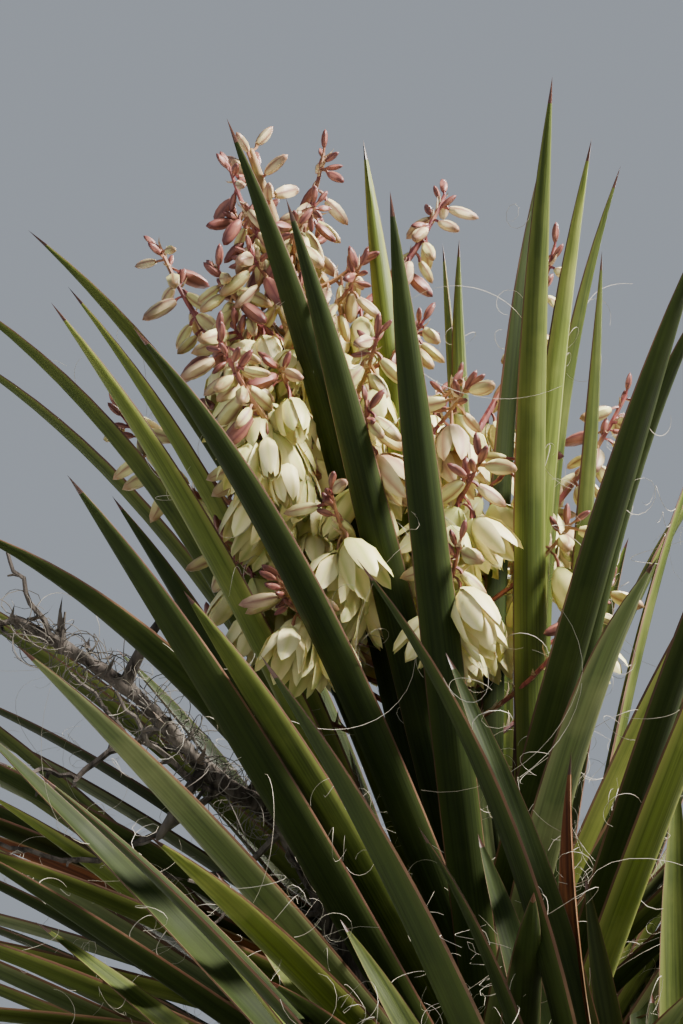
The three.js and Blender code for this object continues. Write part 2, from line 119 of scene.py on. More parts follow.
# Leaves: name, level on the stem, heading, swing, spread, recurve (degrees), length and width.
# A search against lines of the photo printed these rows, and most were then rounded.
UPPER_LEAVES = (
    ("left_dark", 0.93, 255, -3, 12, 36, 680, 31),
    ("left_front", 0.89, 270, -28, 28, 37, 580, 28),
    ("left_tall", 0.98, 225, -13, 15, 37, 660, 28),
    ("centre_dark", 0.91, 275, -19, 20, 23, 610, 30),
    ("centre_front", 0.87, 270, 3, 27, 8, 620, 30),
    ("right_front", 0.98, 300, 20, 11, 13, 660, 30),
    ("right_dark", 0.97, 285, -1, 60, 9, 650, 27),
    ("right_dark_low", 0.84, 295, 3, 30, 36, 600, 27),
    ("left_low", 0.98, 186, -1, 21, 33, 680, 33),
    ("left_high", 0.89, 197, 9, 13, 43, 710, 31),
    ("right_back", 0.94, 310, -4, 17, 13, 650, 28),
    ("right_outer", 0.92, 340, -25, 11, 25, 660, 27),
    ("right_tallest", 0.90, 315, -24, 19, 15, 700, 28),
    ("centre_back", 0.98, 260, 13, 15, -12, 650, 27),
    ("centre_light", 0.98, 30, -5, 4, 0, 640, 27),
    ("centre_thin", 0.98, 335, -26, 3, 11, 590, 24),
    ("left_back", 0.94, 210, 9, 17, 25, 610, 26),
    ("left_outer_back", 0.91, 225, 4, 24, 22, 600, 26),
    ("right_thin", 0.91, 325, -12, 21, -5, 580, 22),
    ("left_short", 0.86, 250, -4, 47, 12, 430, 27),
    ("right_low", 0.82, 270, 14, 58, 25, 520, 28),
    ("left_lower", 0.91, 245, -9, 48, 37, 560, 30),
    ("right_fan_high", 0.97, 1, 14, 25, 28, 580, 30),
    ("right_fan_low", 0.95, 10, 24, 40, 20, 520, 32),
)
LOWER_LEAVES = (
    ("front_broad", 0.98, 190, -1, -4, 31, 520, 34),
    ("front_near", 0.95, 180, 8, -2, 24, 380, 32),
    ("front_left", 0.95, 220, -3, 11, 14, 520, 32),
    ("side_left", 0.94, 145, 11, 35, 5, 570, 31),
    ("front_folded", 0.94, 109, -4, -7, 54, 470, 26),
    ("front_right", 0.85, 80, 3, -1, 10, 350, 22),
)

# Whorls: level, leaf count, first heading, arc, spread, recurve, length
UPPER_WHORLS = (
    (0.890, 6, 0, 230, 22, 11, 500),
    (0.832, 6, 290, 320, 36, 16, 560),
    (0.795, 7, 40, 360, 46, 14, 560),
    (0.755, 8, 18, 360, 57, 12, 550),
    (0.712, 7, 305, 300, 70, 9, 530),
    (0.665, 8, 22, 360, 84, 6, 500),
    (0.615, 8, 0, 360, 97, 5, 460),
)
LOWER_WHORLS = (
    (0.870, 5, 350, 230, 26, 12, 400),
    (0.800, 7, 30, 360, 45, 12, 440),
    (0.725, 8, 8, 360, 64, 10, 430),
    (0.645, 8, 34, 360, 82, 8, 400),
)
DRY_WHORLS = {
    "upper": (0.560, 9, 5, 360, 118, 25, 400),
    "lower": (0.580, 8, 20, 360, 112, 22, 270),
}
# Finer leaves between the single ones, and leaves that dried while they stood: the same measures
FINER_LEAVES = {
    "upper": (
        (0.92, 178, 0, 50, 14, 520, 28),
        (0.90, 190, 0, 56, 12, 520, 28),
        (0.90, 205, 0, 60, 12, 480, 28),
        (0.88, 172, 0, 62, 10, 500, 28),
        (0.90, 218, 0, 60, 10, 480, 28),
        (0.94, 200, 0, 40, 20, 500, 28),
        (0.86, 196, 0, 70, 8, 480, 27),
        (0.86, 228, 0, 70, 8, 460, 27),
        (0.84, 182, 0, 76, 8, 460, 27),
        (0.84, 212, 0, 78, 8, 460, 27),
        (0.95, 165, 0, 44, 18, 520, 28),
        (0.96, 178, 0, 38, 18, 520, 28),
        (0.94, 172, 0, 47, 14, 500, 28),
        (0.92, 160, 0, 56, 12, 500, 28),
        (0.93, 150, 0, 50, 14, 500, 28),
        (0.95, 330, 0, 36, 12, 430, 28),
        (0.94, 340, 0, 44, 12, 450, 28),
        (0.95, 352, 0, 40, 16, 480, 28),
        (0.92, 350, 0, 52, 10, 460, 28),
        (0.90, 335, 0, 58, 8, 460, 28),
        (0.88, 345, 0, 66, 8, 460, 28),
        (0.86, 325, 0, 62, 8, 420, 27),
    ),
    "lower": (
        (0.97, 195, 0, 24, 14, 500, 28),
        (0.93, 75, 0, 4, 6, 330, 18),
        (0.93, 150, 0, 45, 10, 460, 28),
    ),
}
DRIED_LEAVES = {
    "upper": (
        (0.89, 208, 0, 62, 10, 470, 24),
        (0.84, 345, 0, 80, 6, 380, 24),
    ),
    "lower": ((0.95, 80, -30, -8, 32, 385, 24),),
}
UPPER_SEED = 11
LOWER_SEED = 31
DRY_SEEDS = {"upper": 51, "lower": 52}

# Flower stalk and branches: station up the stalk, heading, reach, rise, bells, buds.
# Most began as points of the photo that a small script turned into millimetres.
STALK_TIP = (-302.0, 160.0, 1262.0)
STALK_BULGE = (-196.0, 196.0, 960.0)
STALK_RADII = (14.0, 4.0)
BRANCHES = (
    (0.27, 185, 168, 70, 7, 2),
    (0.29, 8, 170, 110, 6, 2),
    (0.33, 252, 140, 68, 7, 1),
    (0.37, 128, 190, 130, 6, 3),
    (0.40, 16, 205, 190, 7, 4),
    (0.44, 176, 222, 150, 8, 4),
    (0.47, 64, 190, 170, 5, 4),
    (0.50, 32, 190, 262, 5, 4),
    (0.54, 250, 168, 92, 6, 3),
    (0.58, 228, 150, 86, 6, 3),
    (0.62, 166, 156, 168, 5, 5),
    (0.67, 100, 150, 130, 4, 4),
    (0.72, 206, 88, 66, 4, 4),
    (0.76, 26, 124, 128, 3, 5),
)
TIP_BRANCHES = (
    (0.84, 212, 56, 76, 0, 6),
    (0.86, 32, 36, 90, 0, 6),
)
# Open flowers and buds on a side branch, for stations below each limit
SPUR_LOADS = ((0.62, (5, 1)), (0.76, (3, 2)), (1.0, (0, 4)))
# Models of open flowers (length, radius and how wide the mouth is) and of buds (length and radius)
BELL_SIZES = ((46, 15.5, 0.95), (44, 16.5, 1.25), (47, 13.0, 0.6), (45, 10.0, 0.45))
BUD_SIZES = ((32, 6.2), (26, 5.2), (36, 7.4))
# Flowers of the solids
BELL_LENGTH = 48.0
BELL_STEM = 14.0
BUD_LENGTH = 34.0
BUD_STEM = 9.0

# Last year's stalk, which began as points of the photo in the same way, and the stubs of its branches
OLD_STALK = (
    (-156, 131, 514), (-190, 122, 543), (-262, 62, 716), (-318, 20, 764), (-378, -8, 826), (-452, -40, 872),
)
OLD_STUBS = ((0.42, (-8, -22, 52)), (0.62, (-30, -8, -46)), (0.80, (26, -18, 44)))
OLD_RADII = (11.0, 4.0)


def linear(code: str) -> tuple[float, float, float, float]:
    """Turns a written screen colour into the linear colour that a shader takes.

    Args:
        code: Six hexadecimal digits.

    Returns:
        Red, green, blue and an alpha of one.
    """
    parts = [int(code[k:k + 2], 16) / 255 for k in (0, 2, 4)]
    curved = [p / 12.92 if p <= 0.04045 else ((p + 0.055) / 1.055) ** 2.4 for p in parts]
    return (curved[0], curved[1], curved[2], 1.0)


def unit(vector: Array) -> Array:
    """Scales a vector, or each row of an array of them, to a length of one."""
    return vector / np.linalg.norm(vector, axis=-1, keepdims=True)


def outward(axis: Array, heading: float) -> Array:
    """Gives the unit vector square to an axis that points to a compass heading.

    Args:
        axis: Unit vector along the stem.
        heading: Degrees, 0 at +X and 90 at +Y.

    Returns:
        A unit vector.
    """
    angle = math.radians(heading)
    flat = np.array([math.cos(angle), math.sin(angle), 0.0])
    return unit(flat - axis * float(axis @ flat))


class Effect(Enum):
    """The surface patterns that materials share."""

    VEINS = "veined_surface"
    BARK = "weathered_bark"
    PETAL = "petal_tint"
    WOOD = "fibrous_wood"


class Bench:
    """Places and joins shader nodes in one node tree."""

    def __init__(self, tree: bpy.types.NodeTree) -> None:
        """Starts with a tree that is cleared.

        Args:
            tree: The node tree of a material or of a group.
        """
        self.tree = tree
        tree.nodes.clear()

    def join(self, source: object, target: Socket) -> None:
        """Links an output to an input, or sets the input to a value.

        Args:
            source: A socket, a number, a vector or a colour.
            target: The input.
        """
        if isinstance(source, Socket):
            self.tree.links.new(source, target)
        else:
            target.default_value = source

    def add(self, kind: str, inputs: dict[object, object] | None = None,
            **settings: object) -> bpy.types.Node:
        """Adds a node, sets its own properties and joins its inputs.

        Args:
            kind: Blender's node type.
            inputs: What each input takes, by the input's name or number.
            **settings: Properties of the node.

        Returns:
            The node.
        """
        node = self.tree.nodes.new(kind)
        for key, value in settings.items():
            setattr(node, key, value)
        for slot, value in (inputs or {}).items():
            self.join(value, node.inputs[slot])
        return node

    def math(self, operation: str, first: object, second: object) -> Socket:
        """Works on two operands, each a number or a socket."""
        return self.add("ShaderNodeMath", {0: first, 1: second}, operation=operation).outputs[0]

    def spread(self, value: Socket, span: Sequence[object]) -> Socket:
        """Maps a value from span[0]..span[1] to span[2]..span[3], each a number or a socket."""
        limits = dict(zip(("From Min", "From Max", "To Min", "To Max"), span))
        return self.add("ShaderNodeMapRange", {"Value": value, **limits}).outputs["Result"]

    def part(self, value: Socket, low: float, high: float, amount: Socket) -> Socket:
        """Gives an amount times the share of the way that a value has come from low to high."""
        return self.math("MULTIPLY", self.spread(value, (low, high, 0.0, 1.0)), amount)

    def mix(self, mask: Socket, low: Socket, high: Socket) -> Socket:
        """Mixes two colours by a mask."""
        return self.add("ShaderNodeMix", {0: mask, 6: low, 7: high}, data_type="RGBA").outputs[2]

    def noise(self, place: Socket, scale: object, detail: float) -> Socket:
        """Gives the value of a noise pattern, its scale a number or a socket."""
        pattern = {"Vector": place, "Scale": scale, "Detail": detail}
        return self.add("ShaderNodeTexNoise", pattern).outputs[0]

    def split(self, place: Socket) -> Sequence[Socket]:
        """Gives the three coordinates of a place."""
        return self.add("ShaderNodeSeparateXYZ", {0: place}).outputs

    def combine(self, *coordinates: Socket) -> Socket:
        """Gives the place that has these coordinates."""
        return self.add("ShaderNodeCombineXYZ", dict(enumerate(coordinates))).outputs[0]

    def off_middle(self, across: Socket) -> Socket:
        """Gives how far a place across a surface lies from its middle."""
        return self.math("ABSOLUTE", self.math("SUBTRACT", across, 0.5), 0.0)


class EffectGroup(Bench):
    """A pattern that materials share: a node group with named sockets."""

    SOCKETS = (
        ("INPUT", "NodeSocketVector", ("Place", "Body")),
        ("INPUT", "NodeSocketColor", ("Base", "Second", "Third")),
        ("INPUT", "NodeSocketFloat", ("Density", "Amount", "Lit Band", "Rough Low", "Rough High")),
        ("OUTPUT", "NodeSocketColor", ("Color",)),
        ("OUTPUT", "NodeSocketFloat", ("Roughness", "Height")),
    )
    VEIN_STRETCH = 9.0
    FIBRE_STRETCH = (1.0, 1.0, 0.12)

    def __init__(self, effect: Effect) -> None:
        """Builds the group of an effect.

        Args:
            effect: The pattern.
        """
        super().__init__(bpy.data.node_groups.new(effect.value, "ShaderNodeTree"))
        for side, kind, names in self.SOCKETS:
            for name in names:
                self.tree.interface.new_socket(name, in_out=side, socket_type=kind)
        self.given = self.add("NodeGroupInput").outputs
        patterns = {
            Effect.VEINS: self.veins, Effect.BARK: self.bark,
            Effect.PETAL: self.petal, Effect.WOOD: self.wood,
        }
        colour, wear, height = patterns[effect]()
        rough = self.spread(wear, (0.3, 0.7, self.given["Rough Low"], self.given["Rough High"]))
        self.add("NodeGroupOutput", {"Color": colour, "Roughness": rough, "Height": height})

    def veins(self) -> tuple[Socket, Socket, Socket]:
        """Fine lines along a blade, broad patches of a third colour and a paler strip inside each margin,
        painted light along the edges.

        Returns:
            The colour, the noise that the roughness follows and the relief.
        """
        given = self.given
        across, along, _ = self.split(given["Place"])
        body = self.split(given["Body"])
        streak = self.combine(
            self.math("MULTIPLY", along, given["Density"]),
            self.math("MULTIPLY", body[2], self.VEIN_STRETCH),
            self.math("MULTIPLY", body[0], self.VEIN_STRETCH),
        )
        fine = self.spread(self.noise(streak, 1.0, 1.5), (0.36, 0.64, 0.0, 1.0))
        patch = self.noise(given["Body"], 16.0, 4.0)
        # Paler strip inside each margin: painted light along the leaf's edges.
        lit_band = self.part(self.off_middle(across), 0.30, 0.47, given["Lit Band"])
        spots = self.part(patch, 0.48, 0.72, given["Amount"])
        veined = self.mix(fine, given["Base"], given["Second"])
        colour = self.mix(self.math("MAXIMUM", spots, lit_band), veined, given["Third"])
        return colour, patch, fine

    def bark(self) -> tuple[Socket, Socket, Socket]:
        """Rough bark: dark cracks, a mottled ground and pale weathered high spots.

        Returns:
            The colour, the noise that the roughness follows and the relief.
        """
        given = self.given
        grain = self.noise(given["Body"], given["Density"], 8.0)
        ground = {"Vector": given["Body"], "Scale": given["Density"]}
        cells = self.add("ShaderNodeTexVoronoi", ground, feature="DISTANCE_TO_EDGE").outputs[0]
        crack = self.spread(cells, (0.0, 0.16, 0.0, 1.0))
        height = self.math("MULTIPLY", crack, self.spread(grain, (0.2, 0.8, 0.5, 1.0)))
        pale = self.part(grain, 0.5, 0.68, given["Amount"])
        colour = self.mix(pale, self.mix(height, given["Second"], given["Base"]), given["Third"])
        return colour, grain, height

    def wood(self) -> tuple[Socket, Socket, Socket]:
        """Fibres that run up a stalk, with knots of a third colour.

        Returns:
            The colour, the noise that the roughness follows and the relief.
        """
        given = self.given
        stretch = {0: given["Body"], 1: self.FIBRE_STRETCH}
        shrunk = self.add("ShaderNodeVectorMath", stretch, operation="MULTIPLY").outputs[0]
        fine = self.spread(self.noise(shrunk, given["Density"], 5.0), (0.40, 0.60, 0.0, 1.0))
        patch = self.noise(given["Body"], 26.0, 4.0)
        mask = self.part(patch, 0.46, 0.64, given["Amount"])
        colour = self.mix(mask, self.mix(fine, given["Base"], given["Second"]), given["Third"])
        return colour, patch, fine

    def petal(self) -> tuple[Socket, Socket, Socket]:
        """A petal: the second colour gathers at its foot and mid-rib, the third in faint blotches.

        Returns:
            The colour, the noise that the roughness follows and the relief.
        """
        given = self.given
        across, along, _ = self.split(given["Place"])
        foot = self.spread(along, (0.0, 0.5, 1.0, 0.0))
        rib = self.spread(self.off_middle(across), (0.0, 0.25, 0.85, 0.0))
        tint = self.math("MULTIPLY", self.math("MAXIMUM", foot, rib), given["Amount"])
        streak = self.combine(
            self.math("MULTIPLY", across, given["Density"]),
            self.math("MULTIPLY", along, 1.5),
        )
        lines = self.noise(streak, 1.0, 2.0)
        patch = self.spread(self.noise(given["Body"], 40.0, 3.0), (0.52, 0.75, 0.0, 0.6))
        colour = self.mix(patch, self.mix(tint, given["Base"], given["Second"]), given["Third"])
        return colour, lines, lines


@dataclass(frozen=True)
class Finish:
    """A finish: three colours, the pattern that spreads them, and how it shines.

    The depth of its relief is in millimetres, and rough holds the two ends of its roughness.
    """

    name: str
    base: str
    second: str
    third: str
    effect: Effect = Effect.VEINS
    density: float = 20.0
    amount: float = 0.6
    rough: tuple[float, float] = (0.7, 0.9)
    bump: float = 0.2
    depth: float = 0.4
    specular: float = 0.4
    glow: float = 0.0
    # How strong the paler strip of painted light inside a leaf's margins is
    lit_band: float = 0.0


PETAL_LOOK = {"effect": Effect.PETAL, "rough": (0.40, 0.58), "depth": 0.2, "specular": 0.35}
# The deep and bright leaf finishes are shaded and lit copies of the olive one, so they are painted shade
# and painted light. Whorls deal them out at random, and single leaves take them by name.
LEAF_OLIVE = Finish("leaf_olive", "434F1A", "303B11", "747A3C", amount=0.35, rough=(0.55, 0.74),
                    bump=0.18, specular=0.18, lit_band=0.6)
LEAF_DEEP_AND_SHADED = Finish("leaf_deep_and_shaded", "25310F", "1B2509", "424C22", amount=0.3, rough=(0.58, 0.76),
                   bump=0.18, specular=0.14, lit_band=0.5)
LEAF_BRIGHT_AND_LIT = Finish("leaf_bright_and_lit", "5E6B25", "485419", "92954C", amount=0.4, rough=(0.50, 0.68),
                     bump=0.18, specular=0.25, lit_band=0.65)
LEAF_PALE = Finish("leaf_pale", "56623A", "434E2E", "83875A", amount=0.4, rough=(0.52, 0.70),
                   bump=0.18, specular=0.22, lit_band=0.6)
MARGIN = Finish("leaf_margin", "5C3D29", "3E2719", "86684A", density=8, rough=(0.55, 0.75))
SPINE = Finish("leaf_spine", "4A2A1F", "22150F", "6A4030", density=6, amount=0.5, rough=(0.35, 0.5),
               bump=0.1)
DRY_LEAF = Finish("dry_leaf", "84694A", "5E4832", "A8987F", density=26, amount=0.7,
                  bump=0.5, depth=0.8, specular=0.2)
DEAD_BLADE = Finish("dead_blade", "714225", "482719", "946640", rough=(0.6, 0.8),
                    bump=0.3, depth=0.6, specular=0.2)
FIBRE = Finish("pale_fibre", "BDB6A7", "978F80", "D6D1C5", density=4, amount=0.5, rough=(0.6, 0.8),
               bump=0.1, depth=0.2, specular=0.3)
# Grey of the old stalk's threads, made darker as painted shade
GREY_FIBRE_SHADED = Finish("grey_fibre_shaded", "645F59", "48443E", "88827A", density=4,
                    bump=0.1, depth=0.2, specular=0.2)
RACHIS = Finish("green_stalk", "8F8248", "776637", "8F5A42", Effect.WOOD, 220, 0.7, (0.45, 0.65), 0.3)
TWIG = Finish("red_twig", "8A4A46", "682F34", "A58350", Effect.WOOD, 260, 0.8, (0.45, 0.65))
BRACT = Finish("papery_bract", "C4AF8B", "97795A", "E1D6C0", density=14, rough=(0.6, 0.8),
               depth=0.3, specular=0.3)
# Withered bracts of the old stalk: their own grey-brown, made darker as painted shade
BRACT_DRY_SHADED = Finish("withered_bract_shaded", "5C5046", "3C342D", "82766A", density=14, bump=0.3, specular=0.2)
CREAM = Finish("cream_petal", "EFE4AC", "CBC878", "DDCE98", density=9, amount=0.8,
               bump=0.15, glow=0.12, **PETAL_LOOK)
IVORY = Finish("ivory_petal", "E2DA98", "B4BC66", "D2C486", density=9, amount=0.9,
               bump=0.15, glow=0.12, **PETAL_LOOK)
BLUSH = Finish("blush_petal", "DDCC9C", "A87462", "C4A17E", density=9, amount=0.9,
               bump=0.15, glow=0.1, **PETAL_LOOK)
BUD_MAUVE = Finish("mauve_bud", "C6B68A", "6C2E32", "9E7466", density=7, amount=1.0,
                   glow=0.06, **PETAL_LOOK)
BUD_GREEN = Finish("green_bud", "CBC686", "7E443C", "A88C6C", density=7, amount=1.0,
                   glow=0.08, **PETAL_LOOK)
BUD_DARK = Finish("dark_bud", "8E5C50", "502228", "723E3C", Effect.PETAL, 7, 1.0, (0.38, 0.55),
                  depth=0.2, specular=0.35)
PISTIL = Finish("green_pistil", "B9C27A", "98A45C", "D5D9A4", density=6, amount=0.4,
                rough=(0.5, 0.6), bump=0.1)
BARK = Finish("rough_bark", "6B5946", "33281F", "988B79", Effect.BARK, 42, 0.7, (0.82, 0.97),
              bump=0.8, depth=3.0, specular=0.15)
SCAR = Finish("leaf_base", "7E6548", "463526", "A09078", Effect.BARK, 60, 0.6, (0.75, 0.95),
              bump=0.6, depth=1.5, specular=0.2)
# Grey of last year's withered stalk, made darker as painted shade
WITHERED_SHADED = Finish("withered_stalk_shaded", "4C4540", "221E1A", "7A726A", Effect.WOOD, 190, 0.6, (0.8, 0.95),
                  bump=0.7, depth=1.2, specular=0.2)
FLOOR_TONE = Finish("studio_floor", "DAD8D3", "D8D6D1", "DCDAD5", Effect.BARK, 6, 0.3, (0.8, 0.9),
                    bump=0.0, depth=0.1, specular=0.2)


class PaintShop:
    """Makes each finish into a material, once."""

    GLOW_DEPTH = 4.0

    def __init__(self) -> None:
        """Starts with no materials and no effects."""
        self.effects: dict[Effect, bpy.types.NodeTree] = {}
        self.made: dict[str, bpy.types.Material] = {}

    def material(self, finish: Finish) -> bpy.types.Material:
        """Gives the material of a finish.

        Args:
            finish: The finish to make.

        Returns:
            A material whose colour, roughness and relief vary over the surface.
        """
        if finish.name in self.made:
            return self.made[finish.name]
        if finish.effect not in self.effects:
            self.effects[finish.effect] = EffectGroup(finish.effect).tree
        material = bpy.data.materials.new(finish.name)
        material.use_nodes = True
        bench = Bench(material.node_tree)
        place = bench.add("ShaderNodeTexCoord").outputs
        effect = bench.add("ShaderNodeGroup", node_tree=self.effects[finish.effect], inputs={
            "Place": place["UV"], "Body": place["Object"],
            "Base": linear(finish.base), "Second": linear(finish.second), "Third": linear(finish.third),
            "Density": finish.density, "Amount": finish.amount, "Lit Band": finish.lit_band,
            "Rough Low": finish.rough[0], "Rough High": finish.rough[1],
        }).outputs
        shader = bench.add("ShaderNodeBsdfPrincipled", {
            "Base Color": effect["Color"], "Roughness": effect["Roughness"],
            "Specular IOR Level": finish.specular,
            "Subsurface Weight": finish.glow, "Subsurface Scale": self.GLOW_DEPTH * MM,
        })
        if finish.bump > 0:
            relief = {"Strength": finish.bump, "Distance": finish.depth * MM, "Height": effect["Height"]}
            bump = bench.add("ShaderNodeBump", relief)
            bench.join(bump.outputs["Normal"], shader.inputs["Normal"])
        bench.add("ShaderNodeOutputMaterial", {"Surface": shader.outputs[0]})
        self.made[finish.name] = material
        return material


PAINTS = PaintShop()


@dataclass
class MeshPile:
    """Collects many small shapes, in millimetres, and turns them into one piece."""

    finishes: tuple[Finish, ...]
    points: list[Array] = field(default_factory=list)
    faces: list[Array] = field(default_factory=list)
    tones: list[Array] = field(default_factory=list)
    places: list[Array] = field(default_factory=list)
    count: int = 0

    def add(self, points: Array, faces: Sequence[Array], tones: Sequence[Array], places: Array) -> None:
        """Adds one shape.

        Args:
            points: Vertices, one a row.
            faces: Arrays of faces, those with three corners apart from those with four.
            tones: For each array of faces, the number of each face's finish.
            places: Pattern coordinates of each vertex.
        """
        self.points.append(points)
        self.places.append(places)
        for block, tone in zip(faces, tones):
            self.faces.append(block + self.count)
            self.tones.append(np.broadcast_to(tone, len(block)))
        self.count += len(points)

    def tube(self, rings: Array, tone: object = 0, places: Array | None = None,
             tip: Array | None = None) -> None:
        """Adds a closed tube through rings of points, turned so that its faces point outwards.

        Args:
            rings: Rings, points and coordinates.
            tone: One finish number, or one for each ring and side.
            places: Pattern coordinates of each ring point.
            tip: Where the last ring closes; its own centre if not given.
        """
        rows, sides, _ = rings.shape
        ends = np.stack([rings[0].mean(0), rings[-1].mean(0) if tip is None else tip])
        points = np.concatenate([rings.reshape(-1, 3), ends])
        row = np.arange(rows - 1)[:, None] * sides
        side = np.arange(sides)[None, :]
        after = (side + 1) % sides
        quads = np.stack([row + side, row + after, row + sides + after, row + sides + side], -1)
        quads = quads.reshape(-1, 4)
        last = (rows - 1) * sides
        near = np.full(sides, rows * sides)
        fan = np.stack([after[0], side[0], near], -1)
        far = np.stack([last + side[0], last + after[0], near + 1], -1)
        triangles = np.concatenate([fan, far])
        corners = np.concatenate([quads[:, [0, 1, 2]], quads[:, [0, 2, 3]], triangles])
        a, b, c = (points[corners[:, k]] for k in range(3))
        if np.einsum("ij,ij->i", a, np.cross(b, c)).sum() < 0:
            quads = quads[:, ::-1]
            triangles = triangles[:, ::-1]
        if places is None:
            turn = np.broadcast_to(np.arange(sides) / sides, (rows, sides))
            height = np.broadcast_to(np.arange(rows)[:, None] / rows, (rows, sides))
            places = np.stack([turn, height], -1)
        spots = np.concatenate([places.reshape(-1, 2), [places[0].mean(0), places[-1].mean(0)]])
        grid = np.broadcast_to(np.asarray(tone), (rows, sides))
        tones = (grid[:-1].reshape(-1), np.concatenate([grid[0], grid[-1]]))
        self.add(points, (quads, triangles), tones, spots)

    def sheet(self, grid: Array, tip: Array, tone: int = 0) -> None:
        """Adds a thin blade: a grid of points that runs out to a tip.

        Args:
            grid: Rows, columns and coordinates.
            tip: The point that the last row runs to.
            tone: Number of the finish.
        """
        rows, columns, _ = grid.shape
        points = np.concatenate([grid.reshape(-1, 3), tip[None]])
        row = np.arange(rows - 1)[:, None] * columns
        side = np.arange(columns - 1)[None, :]
        quads = np.stack([row + side, row + side + 1, row + columns + side + 1, row + columns + side], -1)
        last = (rows - 1) * columns + np.arange(columns - 1)
        triangles = np.stack([last, last + 1, np.full(columns - 1, rows * columns)], -1)
        across = np.broadcast_to(np.linspace(0, 1, columns), (rows, columns))
        along = np.broadcast_to((np.arange(rows) / rows)[:, None], (rows, columns))
        places = np.concatenate([np.stack([across, along], -1).reshape(-1, 2), [[0.5, 1.0]]])
        self.add(points, (quads.reshape(-1, 4), triangles), (tone, tone), places)

    def stamp(self, model: "MeshPile", turn: Array, offset: Array, tone: int) -> None:
        """Copies a small modelled shape to a place.

        Args:
            model: The shape, with its root at the origin.
            turn: Matrix whose columns are the shape's axes in place.
            offset: Where its root goes.
            tone: Added to the shape's finish numbers.
        """
        points = np.concatenate(model.points) @ turn.T + offset
        blocks = [block + self.count for block in model.faces]
        self.points.append(points)
        self.places.append(np.concatenate(model.places))
        self.faces.extend(blocks)
        self.tones.extend(block + tone for block in model.tones)
        self.count += len(points)

    def piece(self, name: str, slot: str, nodes: Sequence[str] = (),
              crease: float = 50.0) -> bpy.types.Object:
        """Makes the pile one object that rides on the plant.

        Args:
            name: The piece's name.
            slot: The record's material slot; not used.
            nodes: Solids that the piece stands for.
            crease: Angle in degrees past which an edge stays sharp.

        Returns:
            The new object.
        """
        mesh = bpy.data.meshes.new(name)
        faces = [tuple(face) for block in self.faces for face in block.tolist()]
        mesh.from_pydata((np.concatenate(self.points) * MM).tolist(), [], faces)
        for finish in self.finishes:
            mesh.materials.append(PAINTS.material(finish))
        mesh.polygons.foreach_set("material_index", np.concatenate(self.tones).astype(np.int32))
        corners = np.empty(len(mesh.loops), np.int32)
        mesh.loops.foreach_get("vertex_index", corners)
        layer = mesh.uv_layers.new(name="pattern")
        layer.data.foreach_set("uv", np.concatenate(self.places)[corners].astype(np.float32).ravel())
        mesh.shade_smooth()
        mesh.set_sharp_from_angle(angle=math.radians(crease))
        mesh.update()
        piece = bpy.data.objects.new(name, mesh)
        bpy.context.scene.collection.objects.link(piece)
        settle(piece, nodes)
        return piece


def settle(piece: bpy.types.Object, nodes: Sequence[str]) -> None:
    """Fixes a piece to the plant and the solids that it stands for.

    Args:
        piece: The piece.
        nodes: The solids.
    """
    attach(piece, "root")
    if nodes:
        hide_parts(*nodes)
    triangles = sum(len(face.vertices) - 2 for face in piece.data.polygons)
    LOG.info("%s: %d triangles", piece.name, triangles)


def node_points(name: str) -> Array:
    """Gives the vertices of a solid, in millimetres.

    Args:
        name: The node's name.

    Returns:
        One vertex a row.
    """
    mesh = frame["nodes"][name].data
    flat = np.empty(len(mesh.vertices) * 3, np.float32)
    mesh.vertices.foreach_get("co", flat)
    return flat.reshape(-1, 3).astype(float) / MM


class Dice:
    """Repeatable random numbers, the same as those of the solids."""

    def __init__(self, seed: int) -> None:
        """Starts the run of numbers from a seed."""
        self.state = float(seed)

    def roll(self) -> float:
        """Gives the next number, from 0 to 1."""
        self.state = math.fmod(self.state * 1103515245.0 + 12345.0, 2147483648.0)
        return self.state / 2147483648.0


@dataclass(frozen=True)
class Bow:
    """A curve of three points, the middle one pulling it."""

    start: Array
    pull: Array
    end: Array

    def point(self, t: object) -> Array:
        """Gives the point at a share of the way, or one for each of an array of shares."""
        t = np.asarray(t, float)[..., None]
        return (1 - t) ** 2 * self.start + 2 * t * (1 - t) * self.pull + t ** 2 * self.end

    def axis(self, t: object) -> Array:
        """Gives the unit direction of travel at one share or more."""
        t = np.asarray(t, float)[..., None]
        return unit((1 - t) * (self.pull - self.start) + t * (self.end - self.pull))


@dataclass(frozen=True)
class Stem:
    """One stem: a bow with the radius at each end, a flared foot or a domed crown."""

    foot: Triple
    bend: Triple
    crown: Triple
    foot_radius: float
    crown_radius: float
    flare: float = 0.0
    domed: bool = True

    @property
    def bow(self) -> Bow:
        """The stem's centre line."""
        return Bow(np.array(self.foot, float), np.array(self.bend, float), np.array(self.crown, float))

    def radius(self, t: float) -> float:
        """Gives the radius at a share of the way up."""
        flare = self.flare * math.exp(-t / FLARE_REACH)
        shaft = self.foot_radius + (self.crown_radius - self.foot_radius) * t + flare
        if not self.domed or t <= DOME_START:
            return shaft
        return shaft * math.sqrt(max(0.0, 1 - ((t - DOME_START) / DOME_REACH) ** 2))


TRUNK = Stem((0, 0, 0), (0, 0, 90), (-4, 2, 175), 104, 84, 34, False)
UPPER = Stem((-4, 2, 110), (-92, 112, 330), (-130, 190, 640), 86, 74)
LOWER = Stem((2, -6, 105), (0, -140, 205), (-44, -187, 424), 70, 60)


@dataclass(frozen=True)
class LeafPlan:
    """Where a leaf grows and how it stands."""

    level: float
    heading: float
    swing: float
    spread: float
    recurve: float
    length: float
    width: float
    sink: float


